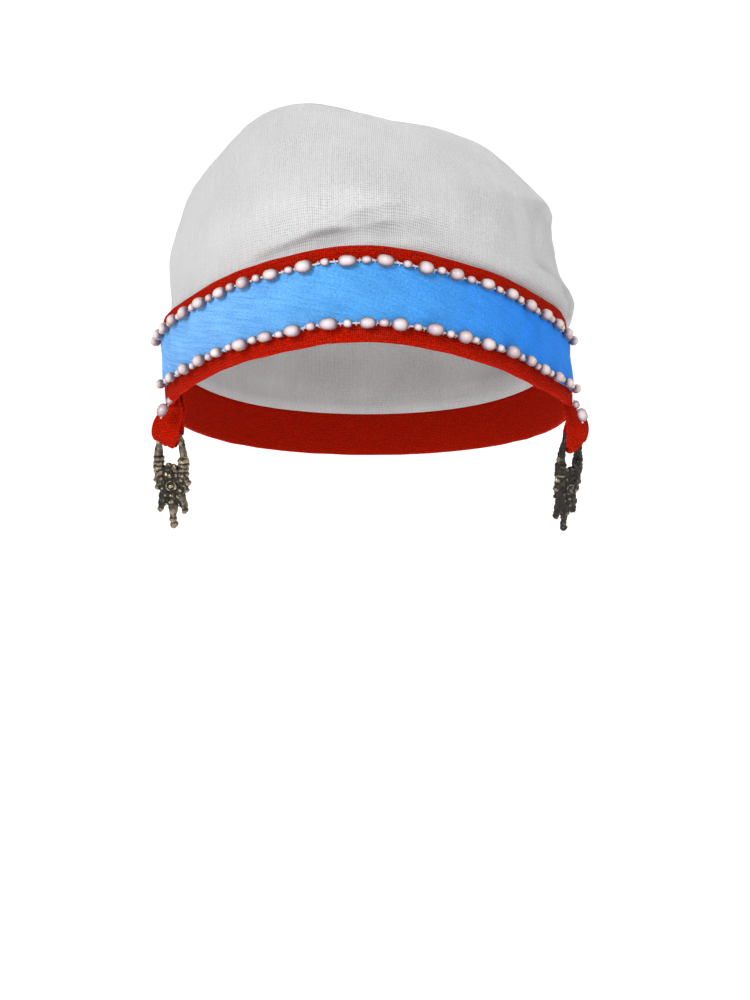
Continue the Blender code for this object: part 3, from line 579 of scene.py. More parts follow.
def pearl_mesh(name, centre, along, outward, length, radius, seed):
    """Make a batch of rice pearls as one mesh.

    Each is turned about its length: the radius is a fuller sine, pushed by fine rings, a pear
    shape, and two and three lobed waves round it, all with seeded amounts. The value "tone" differs
    from pearl to pearl, and "facing" tells how far the surface faces a fixed light that leans
    out of the cloth; the nacre's painted highlight and painted shade are drawn from it.
    """
    count, rows, columns = len(length), PEARL_RINGS, PEARL_SIDES
    random = np.random.default_rng(seed)
    aside = np.cross(along, outward)
    t = (np.arange(1, rows + 1) / (rows + 1.0) * math.pi)[None, :, None]
    turn = round_turn(columns)

    def amounts(low, high):
        return random.uniform(low, high, (count, 1, 1))

    shape = np.sin(t) ** amounts(0.62, 0.82)
    shape = shape * (1.0 + amounts(-0.10, 0.10) * np.cos(t))
    shape = shape * (1.0 + amounts(0.008, 0.03) * np.sin(amounts(7.0, 12.0) * t + amounts(0, 6)))
    shape = shape * (1.0 + amounts(0.01, 0.06) * np.cos(2.0 * turn + amounts(0, 6)))
    shape = shape * (1.0 + amounts(0.0, 0.03) * np.cos(3.0 * turn + 2.0 * t + amounts(0, 6)))
    wide = radius[:, None, None]
    drop = amounts(-0.08, 0.08) * wide * np.sin(2.0 * t)
    body = rim_points(centre[:, None], (-0.5 * length[:, None, None] * np.cos(t), along[:, None]),
                      (shape * wide * np.cos(turn) + drop, outward[:, None]),
                      (shape * wide * np.sin(turn), aside[:, None]))
    tip = 0.5 * length[:, None] * along
    ends = np.stack([centre - tip, centre + tip], axis=1)
    points = np.concatenate([body.reshape(count, -1, 3), ends], axis=1).reshape(-1, 3)
    each = rows * columns + 2
    side = np.arange(columns)
    beside = (side + 1) % columns
    low = np.stack([beside, side, np.full(columns, rows * columns)], axis=-1)
    high = np.stack([side, beside, np.full(columns, columns + 1)], axis=-1)
    high += (rows - 1) * columns
    starts = (np.arange(count) * each)[:, None, None]
    faces = (starts + grid_quads(rows, columns)[0]).reshape(-1, 4).tolist()
    faces += (starts + np.concatenate([low, high])).reshape(-1, 3).tolist()
    tone = np.repeat(random.uniform(0.0, 1.0, count), each)
    # Painted light: how far each point faces this fixed light sets its painted highlight and
    # painted shade.
    light = unit(outward + PEARL_LIGHT)
    ahead, side, end = (np.sum(light * axis, axis=1)[:, None, None]
                        for axis in (outward, aside, along))
    facing = np.sin(t) * (np.cos(turn) * ahead + np.sin(turn) * side) - np.cos(t) * end
    facing = np.concatenate([facing.reshape(count, -1), np.zeros((count, 2))], axis=1)
    return make_mesh(name, points, faces, values={"tone": tone, "facing": facing.ravel()})


def tube_mesh(name, lines, across, radius, sides=7):
    """Sweep round threads along a batch of lines, with closed ends, as one mesh.

    lines is an array of lines of points, and across a direction that none of them runs along.
    """
    along = unit(np.gradient(lines, axis=1))
    first = unit(np.cross(along, across))
    second = np.cross(along, first)
    turn = round_turn(sides)
    points = rim_points(lines, (radius * np.cos(turn), first), (radius * np.sin(turn), second))
    return make_mesh(name, points.reshape(-1, 3), tube_faces(lines.shape[1], sides, len(lines)))


def pearl_row(name, edge, inset, larges, seed):
    """Give one row's pearls, and the lines of its thread and of the stitches that hold it.

    Places along the row are distances from the front, read back to bearings. The thread runs
    through the pearls and sinks to the ribbon between them. Each stitch is an arch over a gap.
    """
    bearing = np.linspace(-PEARL_ROW_END, PEARL_ROW_END, 2001)
    run = run_length(on_band(bearing, girth(edge, bearing) + inset, RIBBON_FACE + PEARL_RADII[0]))
    run = run - np.interp(0.0, bearing, run)

    def on_row(places, aside, height, turn=0.0):
        at = np.interp(places, run, bearing)
        line = girth(edge, at)
        return on_band(at + turn, line + inset + aside, RIBBON_FACE + height + billow(at, line))

    random = np.random.default_rng(seed)
    larges = np.array(larges)
    smalls = 0.5 * (larges[1:] + larges[:-1]) + random.uniform(-0.5, 0.5, len(larges) - 1)
    middles = np.concatenate([larges, smalls])
    count = len(middles)
    kind = (np.arange(count) >= len(larges)).astype(int)
    length = PEARL_LENGTHS[kind] * random.uniform(0.90, 1.10, count)
    radius = PEARL_RADII[kind] * random.uniform(0.90, 1.08, count)
    wander = random.uniform(-0.25, 0.25, count)
    along, outward = band_frame(np.interp(middles, run, bearing))
    tilt = random.uniform(-0.10, 0.10, count)[:, None]
    along = unit(along + tilt * np.cross(along, outward))
    sink = PEARL_SINK * radius
    pearls = pearl_mesh(name, on_row(middles, wander, sink), along, outward, length, radius,
                        seed + 1)
    order = np.argsort(middles)
    middles, length, sink, wander = (array[order] for array in (middles, length, sink, wander))
    ends_low = middles - 0.5 * length
    ends_high = middles + 0.5 * length
    stations = np.linspace(ends_low[0] - THREAD_END, ends_high[-1] + THREAD_END, THREAD_STATIONS)
    height = np.interp(stations, middles, sink)
    sag = np.abs(np.sin(np.pi * np.interp(stations, middles, np.arange(count))))
    height = height - (height - THREAD_RADIUS) * THREAD_SAG * sag
    sideways = np.interp(stations, middles, wander)
    thread = on_row(stations, sideways, height)[None]
    gaps = 0.5 * (ends_high[:-1] + ends_low[1:])
    gaps = gaps[(ends_low[1:] - ends_high[:-1]) > STITCH_GAP]
    places = gaps + random.uniform(-0.2, 0.2, len(gaps))
    arc = np.linspace(-0.5 * math.pi, 0.5 * math.pi, 9)[None, :]
    span = random.uniform(0.5, 0.75, (len(places), 1))
    lean = random.uniform(-0.4, 0.4, (len(places), 1))
    top = np.interp(places, stations, height)[:, None] + THREAD_RADIUS + STITCH_LIFT
    aside = np.interp(places, stations, sideways)[:, None] + span * np.sin(arc)
    rise = (top + STITCH_FOOT) * np.cos(arc) - STITCH_FOOT
    stitches = on_row(places[:, None], aside, rise, lean * np.sin(arc))
    return pearls, thread, stitches


def loop_pearls_mesh(name, bearing, rise, lean, shift, seed):
    """Hang a small and a large pearl over the band's lower edge, leaning out above the loop."""
    start = on_band(bearing, girth("bottom", bearing) + rise, LOOP_PEARL_HEIGHT) + np.array(shift)
    outward = band_frame(bearing)[1]
    lean = math.radians(lean)
    run = math.sin(lean) * outward - math.cos(lean) * BAND_UP
    face = math.cos(lean) * outward + math.sin(lean) * BAND_UP
    length = PEARL_LENGTHS[::-1]
    radius = PEARL_RADII[::-1]
    distance = np.array([0.5 * length[0], length[0] + 0.3 + 0.5 * length[1]])
    centre = start + distance[:, None] * run + radius[:, None] * face
    # The pearls' outward is turned to the front, and with it their painted highlight and painted
    # shade.
    shown = unit(np.cross(run, np.cross([0.0, -1.0, 0.2], run)))
    pearls = pearl_mesh(name, centre, np.tile(run, (2, 1)), np.tile(shown, (2, 1)), length,
                        radius, seed)
    reach = np.linspace(-THREAD_END, distance[1] + 0.5 * length[1] + 0.5, 24)
    line = start + reach[:, None] * run
    return pearls, (line + 0.9 * face)[None]


def loop_read(name, share):
    """Read a column of the loop table at a share of its drop."""
    return float(smooth(share, LOOP["share"], LOOP[name]))


def loop_stations(pivot, turn, seam_bearing, tape_half_width, aside, inner_share, lead):
    """Give the loop's stations: centre, width and thickness axes, and half width and thickness.

    The middle line goes down the outer strand, through the bundle in the bail and up the inner
    strand, as in the CAD part.
    """
    upright = np.array([0.0, 0.0, 1.0])
    seam = on_band(seam_bearing, girth("bottom", seam_bearing) + LOOP_SEAM_RISE,
                   -(BAND_WALL + LOOP_INSET + LOOP["wall"][0] + LOOP["half_gap"][0]))
    outward = band_frame(seam_bearing)[1]
    seam_turn = math.atan2(outward[1], outward[0])
    face_turn = math.radians(turn - 90.0)
    twist = (face_turn - seam_turn + math.pi) % (2.0 * math.pi) - math.pi
    foot = pivot - BUNDLE_DROP * upright
    stations = [("top", 0.0)]
    stations += [("outer", share) for share in LOOP_STATIONS]
    stations += [("bundle", part) for part in (1.0, 0.5, 0.0, -0.5, -1.0)]
    stations += [("inner", share) for share in reversed(LOOP_STATIONS)]
    rows = []
    for kind, value in stations:
        share = 1.0 if kind == "bundle" else value
        way = loop_read("way", share) + lead * loop_read("lead", share)
        angle = seam_turn + twist * loop_read("turned", share)
        normal = np.array([math.cos(angle), math.sin(angle), 0.0])
        width_axis = np.array([-math.sin(angle), math.cos(angle), 0.0])
        middle = seam + (foot - seam) * np.array([way, way, share])
        half_width = tape_half_width * loop_read("width_share", share)
        half_wall = 0.5 * loop_read("wall", share)
        reach = loop_read("half_gap", share) + half_wall
        shift = aside * (value**2 if kind == "bundle" else 1.0) * width_axis
        if kind == "inner" or (kind == "bundle" and value < 0.0):
            half_width = half_width * inner_share
            middle = middle + INNER_ASIDE * shift
        elif kind != "top":
            middle = middle + shift
        if kind == "top":
            centre = middle + (half_wall + 0.4) * upright
            thick_axis = upright
        elif kind == "bundle":
            lean = 0.5 * math.pi * value
            centre = middle + normal * reach * math.sin(lean)
            centre = centre + BUNDLE_RISE * (1.0 - math.cos(lean)) * upright
            pinch = abs(value) ** 3
            half_width = BUNDLE_HALF_WIDTH + (half_width - BUNDLE_HALF_WIDTH) * pinch
            half_wall = BUNDLE_HALF_HEIGHT + (half_wall - BUNDLE_HALF_HEIGHT) * abs(value)
            thick_axis = normal * math.sin(lean) - math.cos(lean) * upright
        else:
            thick_axis = normal if kind == "outer" else -normal
            centre = middle + thick_axis * reach
        rows.append(np.concatenate([centre, width_axis, thick_axis, [half_width, half_wall]]))
    return np.array(rows)


def cloth_loop_mesh(name, pivot, turn, place):
    """Sweep a soft strip of cloth round the loop's stations, read smoothly between them.

    The section is a rounded flat. Lengthwise creases deepen towards the bundle in the bail, whose
    one side hangs lower by the tilt. UV is the length along the loop and the distance across it.
    """
    tilt, seed = place[5:]
    rows = loop_stations(np.array(pivot), turn, *place[:5])
    count = len(rows)
    knots = np.arange(-3.0, count + 3.0)
    fine = smooth(np.linspace(0.0, count, LOOP_RINGS), knots, rows[knots.astype(int) % count])
    centre, width_axis, thick_axis = fine[:, 0:3], unit(fine[:, 3:6]), unit(fine[:, 6:9])
    half_width, half_wall = fine[:, 9:10], fine[:, 10:11]
    around = (np.arange(LOOP_SIDES + 1) * (2.0 * math.pi / LOOP_SIDES))[None, :]
    wide, thick = (np.sign(wave) * np.abs(wave) ** blunt
                   for wave, blunt in ((np.cos(around), 0.6), (np.sin(around), 0.7)))
    run = run_length(centre)[:, None]
    v = wide * half_width
    gather = np.clip(half_wall - FLAT_HALF_WALL, 0.0, MOST_GATHER)
    crease = waves(run * 0.25, v, *LOOP_CREASES, seed)
    ripple = waves(run, v, *LOOP_RIPPLES, seed + 1)
    fade = np.sin(np.linspace(0.0, math.pi, len(fine)))[:, None] ** 0.5
    swell = fade * ((0.08 + 0.30 * gather) * crease + 0.14 * ripple) * np.abs(thick)
    offset = thick * (half_wall + swell)
    points = rim_points(centre, (v, width_axis), (offset, thick_axis))
    points[..., 2] -= tilt * wide * gather / MOST_GATHER
    quads, corner_row, corner_side = grid_quads(len(fine) - 1, LOOP_SIDES, True)
    face_uv = np.stack([run[corner_row, 0], v[corner_row, corner_side]], axis=-1)
    return make_mesh(name, points[:-1, :-1].reshape(-1, 3), quads.tolist(),
                     face_uv.reshape(-1, 2))


def turned_part(profile, start, end, sides=20):
    """Turn a profile of (share of the length, radius) pairs about the line from start to end."""
    start, end = np.array(start, dtype=float), np.array(end, dtype=float)
    axis = unit(end - start)
    aside = unit(np.cross(axis, [0.0, 1.0, 0.0])) if abs(axis[1]) < 0.9 else np.array([1.0, 0, 0])
    front = np.cross(axis, aside)
    turn = round_turn(sides)
    radius = profile[:, 1:]
    points = rim_points(start + profile[:, :1] * (end - start),
                        (radius * np.cos(turn), aside), (radius * np.sin(turn), front))
    return points.reshape(-1, 3), tube_faces(len(profile), sides)


def granule_part(w, depth, z, radius):
    """Turn a ball."""
    angle = np.linspace(GRANULE_TIP, math.pi - GRANULE_TIP, LATHE_STATIONS)
    profile = np.stack([0.5 - 0.5 * np.cos(angle), radius * np.sin(angle)], axis=-1)
    return turned_part(profile, (w, depth, z - radius), (w, depth, z + radius),
                       GRANULE_SIDES)


def lobe_part(side, start_w, start_z, end_w, end_z, start_radius, full_radius, end_radius):
    """Turn one lobe of the casting, slim at its start, full in the middle, necked at its end."""
    share = np.linspace(0.0, 1.0, LATHE_STATIONS)
    radii = np.array([start_radius, full_radius, 0.5 * (full_radius + end_radius), end_radius])
    profile = np.stack([share, smooth(share, np.array([0.0, 0.45, 0.8, 1.0]), radii)], axis=-1)
    return turned_part(profile, (side * start_w, 0.0, start_z), (side * end_w, 0.0, end_z))


def bail_part():
    """Sweep the bail's wire along half an ellipse, a little thicker at its feet."""
    sides = 16
    angle = np.linspace(0.0, math.pi, 41)
    centre = np.stack([BAIL_HALF_WIDTH * np.cos(angle), np.zeros_like(angle),
                       BAIL_FOOT + BAIL_HEIGHT * np.sin(angle)], axis=-1)
    foot = np.array([0.0, 0.0, -1.0])
    centre = np.concatenate([[centre[0] + foot], centre, [centre[-1] + foot]])
    front = np.array([0.0, -1.0, 0.0])
    aside = np.cross(unit(np.gradient(centre, axis=0)), front)
    turn = -round_turn(sides)
    radius = WIRE_RADIUS * np.interp(centre[:, 2:], [BAIL_FOOT, BAIL_FOOT + BAIL_FOOT_HEIGHT],
                                     [BAIL_FOOT_SWELL, 1.0])
    points = rim_points(centre, (radius * np.cos(turn), front), (radius * np.sin(turn), aside))
    return points.reshape(-1, 3), tube_faces(len(centre), sides)


def collar_part(side):
    """Turn one ribbed collar at the foot of the bail."""
    share = np.linspace(0.0, 1.0, 8 * COLLAR_RIDGES + 1)
    wave = np.abs(np.sin(share * COLLAR_RIDGES * math.pi)) ** 0.7
    profile = np.stack([share, COLLAR_GROOVE + (COLLAR_RIDGE - COLLAR_GROOVE) * wave], axis=-1)
    top = (side * BAIL_HALF_WIDTH, 0.0, BAIL_FOOT)
    foot = (side * BAIL_HALF_WIDTH, 0.0, BAIL_FOOT - COLLAR_RIDGES * COLLAR_PITCH)
    return turned_part(profile, top, foot)


def plate_part():
    """Extrude the casting's plate from its half outline, mirrored to both sides."""
    outline = list(PLATE_HALF_OUTLINE)
    outline += [(-w, z) for w, z in reversed(PLATE_HALF_OUTLINE[1:-1])]
    points = [(w, depth, z) for depth in (-PLATE_HALF_DEPTH, PLATE_HALF_DEPTH) for w, z in outline]
    return np.array(points), tube_faces(2, len(outline))


def cast_shape(detail):
    """Fuse the casting's parts into one skin.

    The parts are closed bodies that run into each other. A voxel remesh of the given detail fuses
    them and a light smoothing rounds the joints as a casting has them. Gives points, normals,
    faces and how far each point stands out.
    """
    front, back = BOSS_DEPTHS
    boss = turned_part(BOSS_PROFILE * [1.0, BOSS_RADIUS], (0.0, front, BOSS_Z),
                       (0.0, back, BOSS_Z), 28)
    parts = [bail_part(), plate_part(), boss]
    for side in (-1.0, 1.0):
        parts.append(collar_part(side))
        parts += [lobe_part(side, *row) for row in LOBES]
        parts += [granule_part(side * row[0], *row[1:]) for row in GRANULES]
    faces = []
    start = 0
    for part_points, part_faces in parts:
        faces += [[start + corner for corner in face] for face in part_faces]
        start += len(part_points)
    points = np.concatenate([part[0] for part in parts])
    rough = bpy.data.objects.new("casting", make_mesh("casting", points, faces))
    bpy.context.scene.collection.objects.link(rough)
    fuse = rough.modifiers.new("fuse", "REMESH")
    fuse.mode = "VOXEL"
    fuse.voxel_size = detail
    soften = rough.modifiers.new("soften", "SMOOTH")
    soften.factor = SOFTEN_SHARE
    soften.iterations = SOFTEN_STEPS
    graph = bpy.context.evaluated_depsgraph_get()
    mesh = bpy.data.meshes.new_from_object(rough.evaluated_get(graph))

    def read(items, key, width, kind):
        values = np.empty(len(items) * width, dtype=kind)
        items.foreach_get(key, values)
        return values

    skin = read(mesh.vertices, "co", 3, float).reshape(-1, 3) / MM
    normals = read(mesh.vertices, "normal", 3, float).reshape(-1, 3)
    edges = read(mesh.edges, "vertices", 2, np.int32).reshape(-1, 2)
    corners = read(mesh.loops, "vertex_index", 1, np.int32)
    sizes = read(mesh.polygons, "loop_total", 1, np.int32)
    bpy.data.objects.remove(rough)
    faces = [face.tolist() for face in np.split(corners, np.cumsum(sizes)[:-1])]
    return skin, normals, faces, standing(skin, normals, edges)


def standing(points, normals, edges):
    """Tell how far each point stands out of its surroundings, from 0 in a groove to 1 on a ridge.

    It is the mean drop of the neighbours below the point along its normal, spread a few steps.
    """
    count = np.bincount(edges.ravel(), minlength=len(points))[:, None]
    drop = points
    for _ in range(STANDING_STEPS):
        total = np.zeros_like(drop)
        np.add.at(total, edges[:, 0], drop[edges[:, 1]])
        np.add.at(total, edges[:, 1], drop[edges[:, 0]])
        drop = 0.5 * drop + 0.5 * total / count
    height = np.sum((points - drop) * normals, axis=1)
    return np.clip(0.5 + height / STANDING_HEIGHT, 0.0, 1.0)


def place_ring(points, pivot, turn, lean):
    """Turn the casting to its place: lean in its own plane, turn about the upright, move."""
    lean, turn = math.radians(lean), math.radians(turn)
    leant = np.array([[math.cos(lean), 0.0, math.sin(lean)], [0.0, 1.0, 0.0],
                      [-math.sin(lean), 0.0, math.cos(lean)]])
    turned = np.array([[math.cos(turn), -math.sin(turn), 0.0],
                       [math.sin(turn), math.cos(turn), 0.0], [0.0, 0.0, 1.0]])
    return points @ (turned @ leant).T + pivot


class Paint:
    """A new material, with short ways to add its nodes. Colours are sockets or three numbers."""

    def __init__(self, name):
        material = bpy.data.materials.new(name)
        material.use_nodes = True
        self.tree = material.node_tree
        self.shader = self.tree.nodes["Principled BSDF"]

    def fill(self, node, inputs):
        """Fill a node's inputs with values or other nodes' outputs."""
        for key, value in inputs.items():
            if isinstance(value, bpy.types.NodeSocket):
                self.tree.links.new(value, node.inputs[key])
            else:
                node.inputs[key].default_value = value

    def add(self, kind, inputs, output=0, **settings):
        """Add a node, fill its inputs and give one output."""
        made = self.tree.nodes.new("ShaderNode" + kind)
        for key, value in settings.items():
            setattr(made, key, value)
        self.fill(made, inputs)
        return made.outputs[output]

    def calc(self, operation, first, second=0.0):
        """Work on two numbers."""
        return self.add("Math", {0: first, 1: second}, operation=operation)

    def plus(self, first, second):
        """Add two numbers."""
        return self.calc("ADD", first, second)

    def times(self, first, second):
        """Multiply two numbers."""
        return self.calc("MULTIPLY", first, second)

    def mix(self, factor, first, second):
        """Mix two colours."""
        first, second = (color if isinstance(color, bpy.types.NodeSocket) else (*color, 1.0)
                         for color in (first, second))
        return self.add("Mix", {0: factor, 6: first, 7: second}, output=2, data_type="RGBA")

    def span(self, value, low, high, to_low=0.0, to_high=1.0):
        """Map a number from one range to another, clamped."""
        inputs = {"Value": value, "From Min": low, "From Max": high, "To Min": to_low,
                  "To Max": to_high}
        return self.add("MapRange", inputs)

    def brighten(self, color, share):
        """Scale a colour."""
        return self.add("VectorMath", {0: color, "Scale": share}, operation="SCALE")

    def noise(self, vector, scale, detail=3.0, roughness=0.55):
        """Add a noise and give its value."""
        inputs = {"Vector": vector, "Scale": scale, "Detail": detail, "Roughness": roughness}
        return self.add("TexNoise", inputs)

    def stretch(self, vector, x, y):
        """Scale a vector's first two axes."""
        return self.add("VectorMath", {0: vector, 1: (x, y, 1.0)}, operation="MULTIPLY")

    def bump(self, height, distance, strength=1.0):
        """Give the normal of a height between 0 and 1 that is a real distance high."""
        return self.add("Bump", {"Height": height, "Distance": distance, "Strength": strength})

    def value(self, name):
        """Read a point value of the mesh."""
        return self.add("Attribute", {}, output=2, attribute_name=name)

    def place(self):
        """Give the place in the object's own metres."""
        return self.add("TexCoord", {}, output="Object")

    def split(self, vector):
        """Give a vector's three numbers."""
        made = self.tree.nodes.new("ShaderNodeSeparateXYZ")
        self.fill(made, {0: vector})
        return made.outputs

    def weave(self, pitch, waver):
        """Draw a plain weave: the UV in millimetres, its height and how open it is.

        Each set of threads is a rectified sine across itself, bent a little by noise. Which set
        lies on top changes like a chessboard. Openness is where both sets are low.
        """
        uv = self.stretch(self.add("UVMap", {}, uv_map="cloth"), 1.0 / MM, 1.0 / MM)
        u, v = self.split(uv)[:2]
        bend_u = self.noise(self.stretch(uv, 0.5, 0.08), 1.0, 2.0)
        bend_v = self.noise(self.stretch(uv, 0.08, 0.5), 1.0, 2.0)
        turn = math.pi / (pitch / MM)
        sine_u, sine_v = (
            self.calc("SINE", self.plus(self.times(run, rate), self.times(bend, waver)))
            for run, rate, bend in ((u, turn, bend_u), (v, 0.8 * turn, bend_v)))
        thread_u = self.calc("ABSOLUTE", sine_u)
        thread_v = self.calc("ABSOLUTE", sine_v)
        over = self.span(self.times(sine_u, sine_v), -0.5, 0.5)
        low = self.times(self.calc("SUBTRACT", 1.0, over), thread_v)
        height = self.plus(self.times(over, thread_u), low)
        open_part = self.times(self.calc("SUBTRACT", 1.0, thread_u),
                               self.calc("SUBTRACT", 1.0, self.times(thread_v, 0.7)))
        return uv, height, open_part


def gauze_material(paint, settings):
    """Paint openwork gauze: pale threads, darker pin holes, patches where the weave closes up,
    fainter holes towards the viewer's left, and painted shade in the creases and towards the left.
    """
    uv, height, open_part = paint.weave(settings.gauze_pitch, 1.1)
    x = paint.split(paint.place())[0]
    crease = paint.value("crease")
    patch = paint.span(paint.noise(uv, 0.045, 2.0), 0.35, 0.65, 0.4, 1.0)
    uneven = paint.span(paint.noise(uv, 0.8, 3.0, 0.7), 0.35, 0.65, 0.25, 1.5)
    hole_and_shade = paint.times(paint.span(open_part, 0.10, 0.62), patch)
    # Painted shade: the holes show darker in the creases.
    hole_and_shade = paint.times(hole_and_shade, paint.plus(uneven, crease))
    hole_and_shade = paint.times(hole_and_shade, paint.span(x, -0.066, -0.015, 0.35, 1.25))
    slub = paint.span(paint.noise(paint.stretch(uv, 1.1, 0.05), 1.0), 0.3, 0.7, 0.0, 0.16)
    # Painted shade: from here slub also darkens the gauze in the creases and towards the viewer's
    # left.
    slub = paint.plus(slub, paint.times(crease, 0.38))
    slub = paint.plus(slub, paint.span(x, -0.07, -0.02, 0.22, 0.0))
    # Thread colour with its slubs and its painted shade.
    tint = paint.mix(slub, settings.gauze_color, settings.gauze_shade)
    paint.fill(paint.shader, {
        "Base Color": paint.mix(hole_and_shade, tint, settings.gauze_shade), "Roughness": 0.92,
        "Specular IOR Level": 0.15, "Sheen Weight": 0.25, "Sheen Roughness": 0.5,
        "Normal": paint.bump(height, 0.00022, 0.7)})


def linen_material(paint, settings):
    """Paint plain-woven linen: red threads, uneven slubs, darker gaps and loose fibres."""
    uv, height, open_part = paint.weave(settings.linen_pitch, 4.0)
    slub = paint.noise(paint.stretch(uv, 0.15, 1.6), 1.0)
    fleck = paint.noise(uv, 1.5, 5.0, 0.8)
    color = paint.mix(paint.span(slub, 0.3, 0.7, 0.0, 0.45), settings.linen_color,
                      settings.linen_light)
    color = paint.mix(paint.span(open_part, 0.04, 0.5, 0.0, 0.75), color, settings.linen_dark)
    color = paint.brighten(color, paint.span(fleck, 0.34, 0.66, 0.32, 1.66))
    paint.fill(paint.shader, {
        "Base Color": color, "Roughness": 0.9, "Specular IOR Level": 0.03,
        "Normal": paint.bump(paint.plus(height, paint.times(fleck, 0.6)), 0.0004)})


def ribbon_material(paint, settings):
    """Paint the ribbon's short nap: a slow change of blue along it, lighter to the viewer's left
    partly as the nap's own colour and partly as painted sheen, and fine streaks across it.
    """
    uv = paint.stretch(paint.add("UVMap", {}, uv_map="cloth"), 1.0 / MM, 1.0 / MM)
    # The blue along the ribbon is partly its own colour and partly a painted sheen, lighter at the
    # viewer's left where the key light falls.
    ramp = paint.tree.nodes.new("ShaderNodeValToRGB")
    paint.fill(ramp, {0: paint.span(paint.split(uv)[0], -125.0, 125.0)})
    ramp.color_ramp.elements.new(0.5)
    colors = (settings.ribbon_left, settings.ribbon_middle, settings.ribbon_right)
    for element, position, color in zip(ramp.color_ramp.elements, (0.28, 0.5, 0.76), colors):
        element.position = position
        element.color = (*color, 1.0)
    turned = paint.add("VectorRotate", {"Vector": uv, "Angle": 0.3}, rotation_type="Z_AXIS")
    streak = paint.noise(paint.stretch(turned, 0.07, 1.1), 1.0, 4.0, 0.65)
    cloud = paint.noise(uv, 0.09)
    fluff = paint.noise(paint.stretch(turned, 1.3, 2.2), 1.0, 5.0, 0.75)
    color = paint.mix(paint.span(streak, 0.42, 0.68, 0.0, 0.45), ramp.outputs[0],
                      settings.ribbon_dark)
    color = paint.brighten(color, paint.span(cloud, 0.35, 0.65, 0.92, 1.08))
    color = paint.brighten(color, paint.span(fluff, 0.34, 0.66, 0.66, 1.34))
    nap = paint.plus(paint.noise(uv, 3.5, 3.0, 0.7), streak)
    paint.fill(paint.shader, {
        "Base Color": color, "Roughness": 0.8, "Specular IOR Level": 0.1, "Sheen Weight": 0.03,
        "Sheen Roughness": 0.4, "Sheen Tint": (0.4, 0.7, 1.0, 1.0),
        "Normal": paint.bump(nap, 0.00012)})


def pearl_material(paint, settings):
    """Paint nacre: a warm pale body that changes a little from pearl to pearl, and fine rings.
    The side turned from a fixed light gets painted shade, the side towards it a painted highlight.
    """
    place = paint.place()
    facing = paint.value("facing")
    blend = paint.plus(paint.times(paint.value("tone"), 0.6),
                       paint.times(paint.noise(place, 500.0), 0.8))
    color = paint.mix(paint.span(blend, 0.3, 1.1), settings.pearl_color, settings.pearl_tint)
    # Painted shade: the nacre greys on the side turned from the fixed light.
    color = paint.mix(paint.span(facing, 0.94, 0.38), color, settings.pearl_edge)
    # Painted highlight: the nacre brightens where it faces the fixed light.
    color = paint.mix(paint.span(facing, 0.945, 0.99, 0.0, 0.95), color, settings.pearl_color)
    paint.fill(paint.shader, {
        "Base Color": color,
        "Roughness": paint.span(paint.noise(place, 900.0), 0.3, 0.7, 0.18, 0.36),
        "IOR": 1.6, "Coat Weight": 0.35, "Coat Roughness": 0.08,
        "Thin Film Thickness": 330.0, "Thin Film IOR": 1.33,
        "Normal": paint.bump(paint.noise(place, 900.0, 2.0), 0.00013)})


def thread_material(paint, settings):
    """Paint twisted cotton thread."""
    fibre = paint.noise(paint.place(), 2600.0, 3.0, 0.7)
    paint.fill(paint.shader, {
        "Base Color": paint.mix(fibre, settings.thread_color, settings.thread_shade),
        "Roughness": 0.75, "Normal": paint.bump(fibre, 0.0001)})


def bronze_material(paint, settings):
    """Paint aged bronze: dark patina in the grooves, rubbed metal on the raised parts."""
    place = paint.place()
    patch = paint.noise(place, 420.0, 4.0, 0.65)
    grain = paint.noise(place, 1600.0, 4.0, 0.7)
    area = paint.noise(place, 170.0, 2.0)
    rubbed = paint.plus(paint.times(paint.value("raised"), 0.8),
                        paint.plus(patch, paint.times(area, 0.9)))
    rubbed = paint.span(rubbed, 1.38, 1.80)
    dark = paint.mix(paint.span(patch, 0.5, 0.66), settings.bronze_dark, settings.bronze_green)
    worn = paint.span(rubbed, 0.0, 1.0, 0.40, 0.14)
    paint.fill(paint.shader, {
        "Base Color": paint.mix(rubbed, dark, settings.bronze_rubbed),
        "Metallic": paint.span(rubbed, 0.0, 1.0, 0.9, 1.0),
        "Roughness": paint.plus(worn, paint.times(grain, 0.10)),
        "Normal": paint.bump(grain, 0.00006)})


def backdrop_material(paint, settings):
    """Paint the pale floor and backdrop with a faint unevenness."""
    cloud = paint.span(paint.noise(paint.place(), 6.0, 2.0), 0.3, 0.7, 0.0, 0.3)
    color = paint.mix(cloud, settings.floor_color, settings.floor_shade)
    paint.fill(paint.shader, {"Base Color": color, "Roughness": 0.9, "Emission Color": color,
                              "Emission Strength": 0.42})


def shared(material, group):
    """Give a painted material, painted once however many pieces wear it."""
    name = material.__name__
    if name not in bpy.data.materials:
        material(Paint(name), getattr(bpy.context.scene, "headdress_" + group))
    return bpy.data.materials[name]


def colour(name, description, default):
    """Declare one colour."""
    return bpy.props.FloatVectorProperty(name=name, description=description, subtype="COLOR",
                                         size=3, min=0.0, max=1.0, default=default)


def size(name, description, default, low, high):
    """Declare one length."""
    return bpy.props.FloatProperty(name=name, description=description, default=default, min=low,
                                   max=high, precision=5, subtype="DISTANCE", unit="LENGTH")


def power(name, description, default):
    """Declare one light's power."""
    return bpy.props.FloatProperty(name=name, description=description, default=default, min=0.0,
                                   max=200.0, subtype="POWER", unit="POWER")


